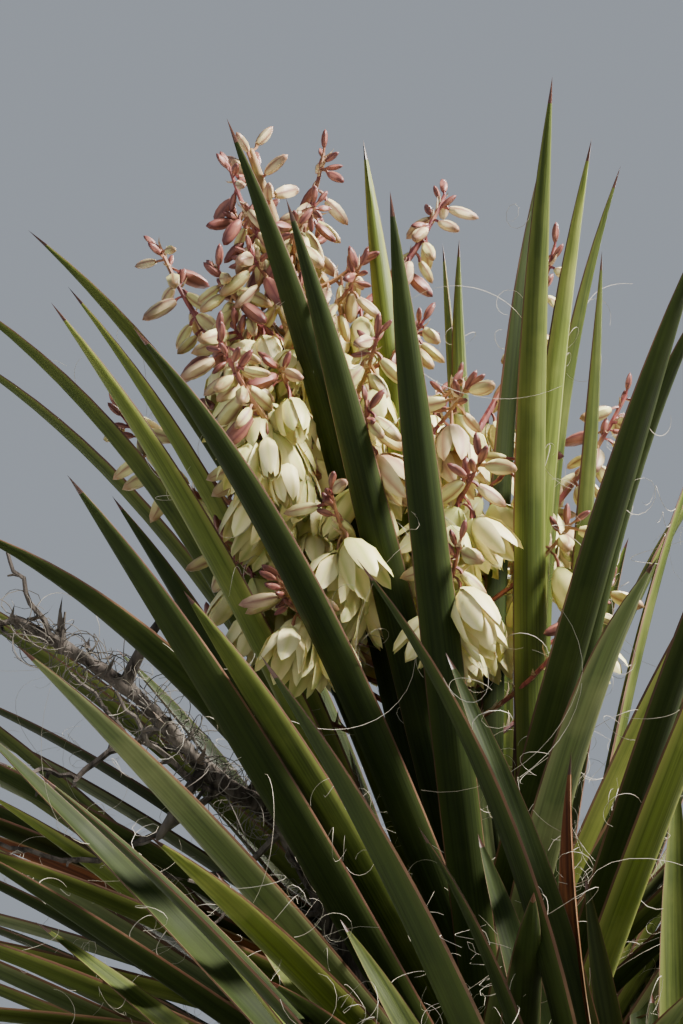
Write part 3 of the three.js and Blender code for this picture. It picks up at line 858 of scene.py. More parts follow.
def nudged(plan: LeafPlan) -> Iterable[LeafPlan]:
    """Gives the places that the rule tries for a single leaf, in its order.

    Args:
        plan: Where the leaf is meant to grow.

    Yields:
        The places.
    """
    for turn in BASE_TURNS:
        for shift in LEVEL_SHIFTS:
            yield replace(plan, level=plan.level + shift, heading=plan.heading + turn,
                          swing=plan.swing - turn)


def turned(plan: LeafPlan) -> Iterable[LeafPlan]:
    """Gives the places that the rule tries for a leaf of a whorl, in its order."""
    return (replace(plan, heading=plan.heading + turn) for turn in WHORL_TURNS)


def whorl_plans(row: Sequence[float], seed: int) -> list[LeafPlan]:
    """Works out the leaves of a whorl.

    Args:
        row: Level, leaf count, first heading, arc, spread, recurve and length.
        seed: Seed of the whorl's wobble.

    Returns:
        The leaves, in order round the stem.
    """
    level, count, first, arc, spread, recurve, length = row
    dice = Dice(seed)
    plans = []
    for k in range(int(count)):
        heading = first + arc / count * k + WHORL_WOBBLE * (2 * dice.roll() - 1)
        lean = spread + SPREAD_WOBBLE * (2 * dice.roll() - 1)
        reach = length * np.interp(dice.roll(), (0, 1), LENGTH_RANGE)
        width = LEAF_WIDTH * np.interp(dice.roll(), (0, 1), WIDTH_RANGE)
        plans.append(LeafPlan(level, heading, 0, lean, recurve, reach, width, WHORL_SINK))
    return plans


class LeafLine:
    """The centre line of a leaf: it turns away from the stem by spread, and more towards the tip."""

    TICKS = np.arange(LINE_STEPS + 1)

    def __init__(self, stem: Stem, plan: LeafPlan) -> None:
        """Walks the line out from the stem.

        Args:
            stem: The stem that the leaf grows on.
            plan: Where the leaf grows and how it stands.
        """
        self.plan = plan
        self.axis = stem.bow.axis(plan.level)
        root = stem.bow.point(plan.level)
        start = root + outward(self.axis, plan.heading) * (stem.radius(plan.level) - plan.sink)
        self.out = outward(self.axis, plan.heading + plan.swing)
        middle = (np.arange(LINE_STEPS) + 0.5) / LINE_STEPS
        steps = self.along(middle) * plan.length / LINE_STEPS
        self.points = np.concatenate([start[None], start + np.cumsum(steps, axis=0)])

    def lean(self, s: Array) -> Array:
        """Gives the angle from the stem's axis, in radians, one row for each share of the length."""
        return np.radians(self.plan.spread + self.plan.recurve * np.asarray(s) ** 2)[..., None]

    def along(self, s: Array) -> Array:
        """Gives the direction of growth."""
        return self.axis * np.cos(self.lean(s)) + self.out * np.sin(self.lean(s))

    def face(self, s: Array) -> Array:
        """Gives the direction that the leaf's hollow side looks."""
        return self.axis * np.sin(self.lean(s)) - self.out * np.cos(self.lean(s))

    def side(self, s: Array) -> Array:
        """Gives the direction across the leaf."""
        return np.cross(self.along(s), self.face(s))

    def at(self, s: Array) -> Array:
        """Gives points of the centre line."""
        place = np.asarray(s) * LINE_STEPS
        return np.stack([np.interp(place, self.TICKS, self.points[:, k]) for k in range(3)], -1)

    def half_width(self, s: Array) -> Array:
        """Gives half the blade's width."""
        base = BASE_WIDTH + (1 - BASE_WIDTH) * np.minimum(1, np.asarray(s) / BASE_REACH)
        return self.plan.width / 2 * base * (1 - np.asarray(s) ** TAPER)


def kept_line(stem: Stem, plans: Iterable[LeafPlan], solid: Array) -> LeafLine | None:
    """Finds which of the places that the rule tries a solid leaf took.

    Args:
        stem: The stem that the leaf grows on.
        plans: The places, in the rule's order.
        solid: Vertices of the solid.

    Returns:
        The leaf's line, or None where the rule found no room for it.
    """
    for plan in plans:
        line = LeafLine(stem, plan)
        if np.linalg.norm(solid - line.points[-1], axis=1).min() < TIP_MATCH:
            return line
    return None


@dataclass(frozen=True)
class BladeStyle:
    """How a leaf's blade is made.

    Lengths are in millimetres, twist in degrees, edge is a share of the half width, and spine_from a
    share of the length.
    """

    rows: int = 24
    thickness: float = 5.0
    edge: float = 0.955
    roll: float = 0.0
    spine_from: float = 0.955
    clasp: float = 0.9
    clasp_reach: float = 22.0
    sway: float = 1.6
    twist: float = 5.0


class BladeMaker:
    """Makes channelled, keeled blades with a horny margin and a spine."""

    MARGIN_SIDES = [0, 5, 6, 11]

    def __init__(self, style: BladeStyle) -> None:
        """Takes the style that all its blades share."""
        self.style = style

    def add(self, pile: MeshPile, line: LeafLine, tone: int, rng: np.random.Generator) -> None:
        """Adds one blade to a pile whose last two finishes are the margin and the spine.

        Args:
            pile: The pile.
            line: The leaf's centre line.
            tone: Number of the blade's finish.
            rng: Random numbers for its small bends.
        """
        style = self.style
        top = np.array([-1, -style.edge, -0.5, 0, 0.5, style.edge, 1])
        under = np.array([style.edge, 0.5, 0, -0.5, -style.edge])
        across = np.concatenate([top, under])
        s = 1 - (1 - np.linspace(0, 1, style.rows + 1)[:-1]) ** 1.12
        clasp = 1 + style.clasp * np.exp(-s * line.plan.length / style.clasp_reach)
        width = line.half_width(s) * clasp
        sway = rng.normal(0, style.sway) * np.sin(math.pi * s * rng.uniform(1.0, 1.8)) * s
        twist = np.radians(rng.normal(0, style.twist)) * s + style.roll * rng.uniform(-1, 1) * s ** 2
        side = line.side(s)
        face = line.face(s)
        turned_side = side * np.cos(twist)[:, None] + face * np.sin(twist)[:, None]
        turned_face = face * np.cos(twist)[:, None] - side * np.sin(twist)[:, None]
        curl = CHANNEL * 2 * width * (1 + abs(style.roll))
        lift = curl[:, None] * np.abs(across)[None, :] ** 1.35
        keel = np.zeros(len(across))
        keel[len(top):] = 1 - 0.75 * np.abs(under) ** 1.6
        depth = style.thickness * (0.12 + 0.88 * (1 - s ** TAPER))
        reach = across[None, :] * width[:, None]
        height = lift - keel[None, :] * depth[:, None]
        centre = line.at(s) + side * sway[:, None]
        sideways = turned_side[:, None] * reach[..., None]
        rings = centre[:, None] + sideways + turned_face[:, None] * height[..., None]
        tones = np.full((len(s), len(across)), tone)
        tones[:, self.MARGIN_SIDES] = len(pile.finishes) - 2
        tones[s > style.spine_from] = len(pile.finishes) - 1
        spots = np.stack([np.broadcast_to((across + 1) / 2, tones.shape), reach / LEAF_WIDTH], -1)
        pile.tube(rings, tones, spots, line.points[-1] + side[-1] * sway[-1])


@dataclass(frozen=True)
class FibreStyle:
    """How the curled fibres of a margin are made."""

    length: tuple[float, float]
    coil: tuple[float, float]
    radius: float
    steps: int = 12


class FibreMaker:
    """Makes the curled threads that leaf margins shed."""

    def __init__(self, style: FibreStyle, pile: MeshPile, seed: int) -> None:
        """Takes a style, the pile to fill and a seed."""
        self.style = style
        self.pile = pile
        self.rng = np.random.default_rng(seed)

    def curl(self, root: Array, along: Array, away: Array) -> None:
        """Adds one thread.

        Args:
            root: Where it is fixed.
            along: The way that it leaves at first.
            away: The way that it first bends, roughly.
        """
        rng = self.rng
        start = unit(along + 0.35 * rng.normal(size=3))
        bend = away + 0.7 * rng.normal(size=3)
        bend = unit(bend - start * float(bend @ start))
        across = np.cross(start, bend)
        length = rng.uniform(*self.style.length)
        steps = self.style.steps
        coil = rng.uniform(*self.style.coil) * np.linspace(1.25, 0.6, steps + 1)
        angle = np.concatenate([[0], np.cumsum(length / steps / coil[1:])])
        turn = start * np.cos(angle)[:, None] + bend * np.sin(angle)[:, None]
        heading = turn + across * rng.uniform(-0.35, 0.35)
        path = root + np.cumsum(unit(heading) * length / steps, axis=0)
        path = np.concatenate([root[None], path[:-1]])
        normal = bend * np.cos(angle)[:, None] - start * np.sin(angle)[:, None]
        size = self.style.radius * np.linspace(1, 0.45, steps + 1)[:, None]
        corners = [math.radians(120 * k) for k in range(3)]
        rings = np.stack([path + size * (normal * math.cos(c) + across * math.sin(c)) for c in corners], 1)
        self.pile.tube(rings)

    def fringe(self, line: LeafLine, count: int) -> None:
        """Adds threads to one leaf, along both margins.

        Args:
            line: The leaf's centre line.
            count: How many threads.
        """
        for _ in range(count):
            s = self.rng.uniform(0.06, 0.86)
            edge = self.rng.choice((-1.0, 1.0))
            side = line.side(s) * edge
            lift = 2 * CHANNEL * line.half_width(s)
            root = line.at(s) + side * line.half_width(s) + line.face(s) * lift
            along = line.along(s) * self.rng.choice((0.8, 0.8, -0.8)) + side * 0.7
            self.curl(root, along, side + line.face(s) * 0.6)


@dataclass
class LeafHead:
    """One head of leaves: its single leaves, its whorls and the dry leaves under them.

    Levels, such as fill_below, are shares of the way up the stem. Rooms and lengths are in
    millimetres, and flower_side holds the two headings that the flowers are seen between.
    """

    name: str
    stem: Stem
    rows: Sequence[tuple]
    whorls: Sequence[tuple]
    seed: int
    keep_clear: Array
    flower_side: tuple[float, float] = (0.0, 0.0)
    flowers_above: float = 0.69
    hiding_length: float = 220.0
    hiding_spread: float = 55.0
    room: float = 13.0
    fill_below: float = 0.80
    dense_below: float = 0.73
    finer_high: int = 2
    finer_low: int = 4
    heart_leaves: int = 26
    heart_room: float = 9.0
    short_length: float = 330.0
    died_back: float = 0.12
    few_curls_above: float = 0.85
    curls_high: int = 8
    curls_low: int = 10
    tones: tuple[Finish, ...] = (LEAF_OLIVE, LEAF_DEEP_AND_SHADED, LEAF_BRIGHT_AND_LIT, LEAF_PALE)
    # Finishes by words of a single leaf's name. The deep one is painted shade on leaves named dark, front,
    # side or lower. The bright one is painted light on those named back or light. Leaves named right_low or
    # fan_low take the pale one.
    tone_and_painted_light_by_word: dict[str, Finish] = field(default_factory=lambda: {
        "dark": LEAF_DEEP_AND_SHADED, "front": LEAF_DEEP_AND_SHADED, "side": LEAF_DEEP_AND_SHADED, "lower": LEAF_DEEP_AND_SHADED, "back": LEAF_BRIGHT_AND_LIT,
        "light": LEAF_BRIGHT_AND_LIT, "right_low": LEAF_PALE, "fan_low": LEAF_PALE,
    })
    blades: BladeMaker = field(default_factory=lambda: BladeMaker(BladeStyle()))
    lines: list[LeafLine] = field(default_factory=list)

    def draws(self, part: int) -> np.random.Generator:
        """Gives the random numbers of one part of the head."""
        return np.random.default_rng(self.seed * 100 + part)

    def single_leaves(self) -> None:
        """Makes each leaf that stands out of the head, one piece a leaf."""
        for number, (name, *measures) in enumerate(self.rows):
            node = f"leaf_{self.name}_{name}"
            if node not in frame["nodes"]:
                continue
            line = kept_line(self.stem, nudged(LeafPlan(*measures, LEAF_SINK)), node_points(node))
            if line is None:
                LOG.warning("%s: no line found", node)
                continue
            # Leaves that stand in shade take the deep finish as painted shade, and lit ones take the bright
            # finish as painted light.
            tone = next((finish for word, finish in self.tone_and_painted_light_by_word.items() if word in name), LEAF_OLIVE)
            pile = MeshPile((tone, MARGIN, SPINE))
            self.blades.add(pile, line, 0, self.draws(number))
            pile.piece(f"blade_{self.name}_{name}", "leaf", (node,))
            self.lines.append(line)

    def free_line(self, plan: LeafPlan, room: float) -> LeafLine | None:
        """Finds room for a leaf between those that stand already.

        Args:
            plan: Where the leaf would grow.
            room: Gap in millimetres that its middle line keeps from theirs.

        Returns:
            Its line, or None where every turn would run it through another leaf.
        """
        others = np.concatenate([*(line.points[8:] for line in self.lines), self.keep_clear])
        for option in turned(plan):
            line = LeafLine(self.stem, option)
            gaps = np.linalg.norm(line.points[8:, None] - others[None], axis=2)
            if gaps.min() > room:
                return line
        return None

    def hides_flowers(self, plan: LeafPlan) -> bool:
        """Tells whether a leaf would rise in front of the flowers.

        Args:
            plan: Where the leaf would grow.

        Returns:
            True where it is long, upright and on the flowers' side.
        """
        low, high = self.flower_side
        is_tall = plan.length > self.hiding_length and plan.spread < self.hiding_spread
        return low < plan.heading % 360 < high and is_tall

    def between(self, row: Sequence[float], rng: np.random.Generator) -> Iterable[LeafPlan]:
        """Gives the finer leaves that fill a whorl: they stand between its leaves and a little higher.

        Args:
            row: The whorl's row.
            rng: Random numbers for their wobble.

        Yields:
            The leaves' plans.
        """
        level, count, first, arc, spread, recurve, length = row
        share = self.finer_high if level > self.dense_below else self.finer_low
        for k in range(share * int(count)):
            heading = first + arc / count * (k / share + 0.25) + rng.normal(0, 3)
            rise = RISE_STEP + RISE_STEP * (k % 2)
            lean = spread - LEAN_BY_LEVEL * rise + rng.normal(0, 3)
            bend = recurve + rng.normal(0, 4)
            reach = length * rng.uniform(0.74, 1.0)
            width = LEAF_WIDTH * rng.uniform(0.82, 1.0)
            yield LeafPlan(level + rise, heading, 0, lean, bend, reach, width, WHORL_SINK)

    def heart(self, length: float) -> Iterable[LeafPlan]:
        """Gives the short young leaves that close the middle of the head.

        Args:
            length: Length of the leaves round them.

        Yields:
            The leaves' plans, from the outside in.
        """
        for k in range(self.heart_leaves):
            inward = k / self.heart_leaves
            level = 0.89 + 0.09 * inward
            lean = 30 - 26 * inward
            bend = 10 - 12 * inward
            reach = length * (0.56 - 0.22 * inward)
            width = LEAF_WIDTH * (0.95 - 0.3 * inward)
            yield LeafPlan(level, GOLDEN_TURN * k + 20, 0, lean, bend, reach, width, WHORL_SINK)

    def solid_lines(self, number: int) -> list[LeafLine]:
        """Finds the leaves of a whorl that have a solid.

        Args:
            number: The whorl's number, from nought.

        Returns:
            Their lines.
        """
        solid = node_points(f"whorl_{self.name}_{number + 1}")
        plans = whorl_plans(self.whorls[number], self.seed + number)
        lines = [kept_line(self.stem, turned(plan), solid) for plan in plans]
        return [line for line in lines if line is not None]

    def finer_lines(self, number: int, rng: np.random.Generator) -> list[LeafLine]:
        """Finds room for the finer leaves that a whorl's piece takes up.

        The first piece takes the young leaves, and the second the finer single ones.

        Args:
            number: The whorl's number, from nought.
            rng: Random numbers for their wobble.

        Returns:
            The lines of those that have room.
        """
        row = self.whorls[number]
        named = [LeafPlan(*measures, WHORL_SINK) for measures in FINER_LEAVES[self.name] if number == 1]
        young = self.heart(row[-1]) if number == 0 else ()
        plans = self.between(row, rng) if row[0] < self.fill_below else young
        added = []
        for plan in (*named, *plans):
            if row[0] > self.flowers_above and self.hides_flowers(plan):
                continue
            line = self.free_line(plan, self.heart_room if number == 0 else self.room)
            if line is not None:
                added.append(line)
                self.lines.append(line)
        return added

    def whorled_leaves(self) -> None:
        """Makes each whorl, one piece a whorl, its leaves dealt out among the finishes."""
        found = [self.solid_lines(number) for number in range(len(self.whorls))]
        self.lines.extend(line for lines in found for line in lines)
        for number, solid in enumerate(found):
            rng = self.draws(WHORL_DRAWS + number)
            lines = solid + self.finer_lines(number, rng)
            pile = MeshPile((*self.tones, DEAD_BLADE, MARGIN, SPINE))
            for line in lines:
                is_dead = line.plan.length < self.short_length and rng.uniform() < self.died_back
                tone = len(self.tones) if is_dead else rng.choice(LEAF_DEAL)
                self.blades.add(pile, line, int(tone), rng)
            pile.piece(f"rosette_{self.name}_{number + 1}", "leaf", (f"whorl_{self.name}_{number + 1}",))

    def dry_leaves(self) -> None:
        """Makes the dry leaves that hang under the head, rolled and thinner than the living ones."""
        node = f"dead_leaves_{self.name}"
        solid = node_points(node)
        pile = MeshPile((DRY_LEAF, DEAD_BLADE, DRY_LEAF, SPINE))
        maker = BladeMaker(BladeStyle(rows=20, thickness=2.6, roll=0.7, clasp=0.6))
        rng = self.draws(DRY_DRAWS)
        for plan in whorl_plans(DRY_WHORLS[self.name], DRY_SEEDS[self.name]):
            line = kept_line(self.stem, turned(plan), solid)
            if line is None:
                continue
            maker.add(pile, line, 0, rng)
            for shift in (-16, 15):
                shorter = replace(line.plan, heading=line.plan.heading + shift + rng.normal(0, 3),
                                  length=line.plan.length * rng.uniform(0.6, 0.9),
                                  spread=line.plan.spread + rng.normal(4, 5), width=line.plan.width * 0.85,
                                  level=line.plan.level + rng.uniform(-0.05, 0.03))
                maker.add(pile, LeafLine(self.stem, shorter), 0, rng)
        for measures in DRIED_LEAVES[self.name]:
            maker.add(pile, LeafLine(self.stem, LeafPlan(*measures, WHORL_SINK)), 1, rng)
        pile.piece(f"dry_skirt_{self.name}", "dead_leaf", (node,))

    def fibres(self) -> None:
        """Makes the threads of the head's living leaves as one piece, more of them on the lower leaves."""
        pile = MeshPile((FIBRE,))
        curls = FibreMaker(FibreStyle((24, 78), (6, 21), 0.22), pile, self.seed)
        arcs = FibreMaker(FibreStyle((90, 190), (45, 95), 0.19), pile, self.seed + 1)
        for line in self.lines:
            is_high = line.plan.level > self.few_curls_above
            curls.fringe(line, self.curls_high if is_high else self.curls_low)
            arcs.fringe(line, 1)
        pile.piece(f"fibres_{self.name}", "leaf", ())

    def build(self) -> None:
        """Makes the whole head."""
        self.single_leaves()
        self.whorled_leaves()
        self.dry_leaves()
        self.fibres()


def upright(direction: Array, roll: float) -> Array:
    """Gives a matrix whose third column is a direction, turned about it by roll.

    Args:
        direction: The way that the shape's length points.
        roll: Turn about it, in radians.

    Returns:
        A rotation matrix with the axes as columns.
    """
    z = unit(direction)
    hint = np.array([1.0, 0, 0]) if abs(z[2]) > 0.9 else np.array([0, 0, 1.0])
    x = unit(np.cross(hint, z))
    y = np.cross(z, x)
    first = x * math.cos(roll) + y * math.sin(roll)
    return np.stack([first, np.cross(z, first), z], -1)


def round_rings(path: Array, along: Array, size: Array, sides: int) -> Array:
    """Works out round rings square to a path.

    Args:
        path: Centres of the rings.
        along: Unit direction of the path at each centre.
        size: Radius of each ring, as a column.
        sides: Points a ring.

    Returns:
        Rings, points and coordinates.
    """
    right = np.stack([outward(axis, 0) for axis in along])
    front = np.cross(right, along)
    corners = np.arange(sides) * 2 * math.pi / sides
    return np.stack([path + size * (right * math.sin(c) + front * math.cos(c)) for c in corners], 1)


def rod_rings(bow: Bow, radii: tuple[float, float], sides: int, steps: int) -> Array:
    """Works out the rings of a tapering round rod along a bow.

    Args:
        bow: Its centre line.
        radii: Radius at the start and at the end.
        sides: Points a ring.
        steps: Rings less one.

    Returns:
        Rings, points and coordinates.
    """
    t = np.linspace(0, 1, steps + 1)
    size = (radii[0] + (radii[1] - radii[0]) * t)[:, None]
    return round_rings(bow.point(t), bow.axis(t), size, sides)


def level_rings(sizes: Array, heights: Array, sides: int, ridge: Array | float = 1.0) -> Array:
    """Works out level rings, one above another.

    Args:
        sizes: Radius of each ring.
        heights: Height of each ring.
        sides: Points a ring.
        ridge: Factor on the radius, the same for all points or one for each.

    Returns:
        Rings, points and coordinates.
    """
    corners = np.arange(sides) * 2 * math.pi / sides
    return np.stack([
        np.stack([r * ridge * np.cos(corners), r * ridge * np.sin(corners), np.full(sides, z)], -1)
        for r, z in zip(sizes, heights)
    ])


@dataclass(frozen=True)
class BellShape:
    """The shape of an open flower: six pointed petals, in two layers, round a pistil."""

    length: float
    radius: float
    mouth: float
    petal: float = 9.8
    foot: float = 2.2
    layers: tuple[float, float] = (1.0, -0.8)
    fold: float = 1.07
    pistil_sizes: tuple[float, ...] = (2.0, 3.4, 1.8)
    pistil_heights: tuple[float, ...] = (0.0, 0.3, 0.55)

    def model(self) -> MeshPile:
        """Models the flower with its foot at the origin and its mouth along +Z.

        Returns:
            The flower, its petals in the first finish and its pistil in the second.
        """
        pile = MeshPile((CREAM, PISTIL))
        t = np.array([0.0, 0.16, 0.38, 0.64, 0.86])
        opening = np.sin(np.minimum(1, t / 0.5) * math.pi / 2) ** 0.75
        flaring = 1 + (self.mouth - 1) * np.maximum(0, (t - 0.5) / 0.5) ** 1.6
        swell = np.where(t < 0.5, opening, flaring)
        half = self.petal * np.minimum(1, (t + 0.12) / 0.36) * (1 - t ** 3.2) ** 0.75
        for k in range(6):
            middle = math.radians(60 * k)
            layer = self.layers[k % 2]
            radius = self.foot + (self.radius - self.foot) * swell + layer
            grid = []
            for column in (-1, 0, 1):
                angle = middle + column * np.minimum(half / radius, 0.95)
                bulge = radius * (1.0 if column else self.fold)
                grid.append(np.stack([bulge * np.cos(angle), bulge * np.sin(angle), self.length * t], -1))
            flare = self.radius * self.mouth * 0.93 + layer
            tip = np.array([flare * math.cos(middle), flare * math.sin(middle), self.length])
            pile.sheet(np.stack(grid, 1), tip, 0)
        heights = np.array(self.pistil_heights) * self.length
        pile.tube(level_rings(np.array(self.pistil_sizes), heights, 5), 1)
        return pile


@dataclass(frozen=True)
class BudShape:
    """The shape of a closed flower: a six-sided spindle."""

    length: float
    radius: float

    def model(self) -> MeshPile:
        """Models the bud with its foot at the origin and its point along +Z.

        Returns:
            The bud, in one finish.
        """
        pile = MeshPile((BUD_MAUVE,))
        t = np.array([0.0, 0.14, 0.36, 0.62, 0.86])
        sizes = self.radius * np.sin(math.pi * (0.09 + 0.88 * t) ** 0.9) ** 0.66
        is_ridge = np.arange(6) % 2 == 0
        rings = level_rings(sizes, t * self.length, 6, np.where(is_ridge, 1.06, 0.92))
        places = np.stack([np.broadcast_to(np.arange(6) % 2 * 0.5, (5, 6)),
                           np.broadcast_to(1 - t[:, None], (5, 6))], -1)
        pile.tube(rings, 0, places, np.array([0, 0, self.length]))
        return pile


@dataclass(frozen=True)
class Branch:
    """A flowering branch: its line, its load, how red its tip is, its thickness and its largest bract."""

    bow: Bow
    bells: int
    buds: int
    pink: float
    radii: tuple[float, float]
    bract: float


@dataclass
class Panicle:
    """The flower stalk, its branches and all that grows on them.

    Flowers shrink between two heights, in millimetres. Radii are those of a branch's two ends.
    """

    stalk: Bow
    leaves: BVHTree
    bells: MeshPile = field(default_factory=lambda: MeshPile((CREAM, PISTIL, IVORY, PISTIL, BLUSH, PISTIL)))
    buds: MeshPile = field(default_factory=lambda: MeshPile((BUD_MAUVE, BUD_GREEN, BUD_DARK)))
    twigs: MeshPile = field(default_factory=lambda: MeshPile((TWIG,)))
    bracts: MeshPile = field(default_factory=lambda: MeshPile((BRACT,)))
    rng: np.random.Generator = field(default_factory=lambda: np.random.default_rng(5))
    taken: list[tuple[Array, float]] = field(default_factory=list)
    tries: int = 7
    next_turn: float = 0.9
    next_drop: float = 0.1
    shrink_between: tuple[float, float] = (980.0, 1240.0)
    smallest: float = 0.8
    density: float = 3.2
    tip_density: float = 2.1
    tip_buds: int = 5
    tip_bud_reach: float = 22.0
    tip_bud_step: float = 0.035
    limb_radii: tuple[float, float] = (4.5, 1.8)
    limb_bract: float = 52.0
    tip_radii: tuple[float, float] = (3.4, 1.5)
    tip_bract: float = 24.0
    spur_radii: tuple[float, float] = (2.4, 1.4)
    spurs_from: float = 0.22
    spurs_to: float = 0.90
    spur_count: int = 46
    spur_lift: float = 0.6
    crown_buds: int = 9
    petal_crease: float = 180.0
    bud_crease: float = 70.0
    bell_models: tuple[MeshPile, ...] = field(default_factory=lambda: tuple(
        BellShape(length=length, radius=radius, mouth=mouth).model()
        for length, radius, mouth in BELL_SIZES))
    bud_models: tuple[MeshPile, ...] = field(default_factory=lambda: tuple(
        BudShape(length, radius).model() for length, radius in BUD_SIZES))

    def branch(self, row: Sequence[float], turn: float) -> Bow:
        """Works out a branch's centre line.

        Args:
            row: Station, heading, reach, rise, bells and buds.
            turn: Degrees added to its heading.

        Returns:
            The line.
        """
        station, heading, reach, rise = row[:4]
        root = self.stalk.point(station)
        angle = math.radians(heading + turn)
        out = np.array([math.cos(angle), math.sin(angle), 0.0])
        up = np.array([0.0, 0.0, 1.0])
        pull = root + out * reach * TWIG_BOW[0] + up * rise * TWIG_BOW[1]
        return Bow(root, pull, root + out * reach + up * rise)

    @staticmethod
    def flower_ends(bow: Bow, row: Sequence[float]) -> Array:
        """Works out where the solid flowers of a branch end, to find it among the solids.

        Args:
            bow: The branch's centre line.
            row: Station, heading, reach, rise, bells and buds.

        Returns:
            One end a row.
        """
        bells, buds = row[4:6]
        count = bells + buds
        ends = []
        for k in range(count):
            along = np.interp(k / (count - 1), (0, 1), (FLOWERS_FROM, 1))
            angle = math.radians(GOLDEN_TURN * k)
            is_open = k < bells
            drop = BELL_DROP if is_open else BUD_DROP + BUD_LIFT * along
            reach = BELL_STEM + BELL_LENGTH * 0.72 if is_open else BUD_STEM + BUD_LENGTH
            ends.append(bow.point(along) + unit(np.array([math.cos(angle), math.sin(angle), drop])) * reach)
        return np.array(ends)

    def kept_branches(self) -> list[tuple[Bow, Sequence[float]]]:
        """Finds each branch that has a solid, and the turn that the rule gave it.

        Returns:
            Each branch's centre line and row.
        """
        found = []
        for node in sorted(n for n in frame["nodes"] if n.startswith("flower_branch")):
            solid = node_points(node)
            best = (0, None, None)
            for row in BRANCHES:
                for turn in TWIG_TURNS:
                    bow = self.branch(row, turn)
                    gaps = np.linalg.norm(self.flower_ends(bow, row)[:, None] - solid[None], axis=2).min(1)
                    hits = int((gaps < TIP_MATCH).sum())
                    if hits > best[0]:
                        best = (hits, bow, row)
            if best[1] is None:
                LOG.warning("%s: no branch found", node)
            else:
                found.append(best[1:])
        return found

    def is_free(self, root: Array, direction: Array, length: float, room: float) -> bool:
        """Tells whether a flower would stand clear of the leaves and of the flowers made before it.

        Args:
            root: Where its stalk leaves the branch.
            direction: The way that it points.
            length: Length of the stalk and the flower.
            room: Gap that it keeps, in millimetres.

        Returns:
            True where it has room, which is then taken.
        """
        for share in (0.3, 0.62, 0.95):
            spot = root + direction * length * share
            if self.leaves.find_nearest(Vector(spot * MM), room * MM)[0] is not None:
                return False
        middle = root + direction * length * 0.62
        if self.taken:
            gaps = np.linalg.norm(np.array([spot for spot, _ in self.taken]) - middle, axis=1)
            if (gaps < np.array([other for _, other in self.taken]) + room).any():
                return False
        self.taken.append((middle, room))
        return True

    def flower(self, root: Array, angle: float, drop: float, is_bud: bool, pink: float) -> None:
        """Adds a flower or bud on its stalk, at the first of a few turns that has room for it.

        Args:
            root: The point of the branch that it grows from.
            angle: Its heading, in radians.
            drop: How far it points up, or down where negative, against one outwards.
            is_bud: Whether it is closed.
            pink: Chance of the redder finish.
        """
        rng = self.rng
        small = float(np.interp(root[2], self.shrink_between, (1.0, self.smallest)))
        stem = (BUD_STEM if is_bud else BELL_STEM) * rng.uniform(0.8, 1.4)
        length = BUD_LENGTH if is_bud else BELL_LENGTH
        room = BUD_ROOM if is_bud else BELL_ROOM
        for k in range(self.tries):
            turned_angle = angle + self.next_turn * k
            down = drop - self.next_drop * k
            heading = np.array([math.cos(turned_angle), math.sin(turned_angle), down])
            direction = unit(heading + rng.normal(0, 0.16, 3))
            is_high = root[2] + direction[2] * (stem + length) > LOWEST_FLOWER
            if is_high and self.is_free(root, direction, stem + length, room):
                break
        else:
            return
        out = np.array([direction[0], direction[1], direction[2] * 0.3])
        foot = root + direction * stem
        pull = root + unit(out) * stem * 0.7
        self.twigs.tube(rod_rings(Bow(root, pull, foot), (1.1, 1.5), 4, 3))
        turn = upright(direction, rng.uniform(0, 2 * math.pi)) * rng.uniform(0.86, 1.04) * small
        if is_bud:
            model = self.bud_models[rng.integers(len(self.bud_models))]
            tone = 1 if rng.uniform() > pink else rng.choice(PETAL_DEAL)
            self.buds.stamp(model, turn, foot, int(tone))
        else:
            model = self.bell_models[rng.choice(BELL_DEAL)]
            tone = 4 if rng.uniform() < pink * 0.5 else rng.choice(PETAL_DEAL)
            self.bells.stamp(model, turn, foot, int(tone))

    def bract(self, root: Array, direction: Array, length: float, width: float) -> None:
        """Adds a papery bract that curls away from a branch.

        Args:
            root: Where it is fixed.
            direction: The way that it leaves at first.
            length: Its length, in millimetres.
            width: Its width at the foot.
        """
        side = unit(np.cross(direction, np.array([0.1, 0.2, 1.0])))
        back = np.cross(side, direction)
        grid = []
        for share in (0.0, 0.3, 0.65):
            middle = root + direction * length * share + back * length * 0.35 * share ** 2
            half = width / 2 * (1 - share ** 1.5)
            grid.append([middle + side * half * turn + back * 0.8 * abs(turn) for turn in (-1, 0, 1)])
        tip = root + direction * length * 0.95 + back * length * 0.45
        self.bracts.sheet(np.array(grid), tip)

    def dress(self, branch: Branch, closed: bool) -> None:
        """Puts on a branch its open flowers, or the buds beyond them, each with a papery bract.

        Args:
            branch: The branch.
            closed: Whether the buds are due, not the open flowers.
        """
        density = self.density if branch.bells else self.tip_density
        count = int((branch.bells + branch.buds) * density)
        share = branch.bells / (branch.bells + branch.buds)
        for k in range(count):
            part = (k + 0.5) / count
            if (part > share) != closed:
                continue
            along = np.interp(part, (0, 1), (0.16, 1.0))
            angle = math.radians(GOLDEN_TURN * k) + self.rng.normal(0, 0.3)
            drop = BUD_DROP + BUD_LIFT * along ** 2.5 if closed else BELL_DROP
            root = branch.bow.point(along)
            self.flower(root, angle, drop, closed, branch.pink * (0.35 + 0.65 * part))
            direction = unit(branch.bow.axis(along) + 0.7 * self.rng.normal(size=3))
            self.bract(root, direction, self.rng.uniform(7, 16), self.rng.uniform(2.5, 5.5))

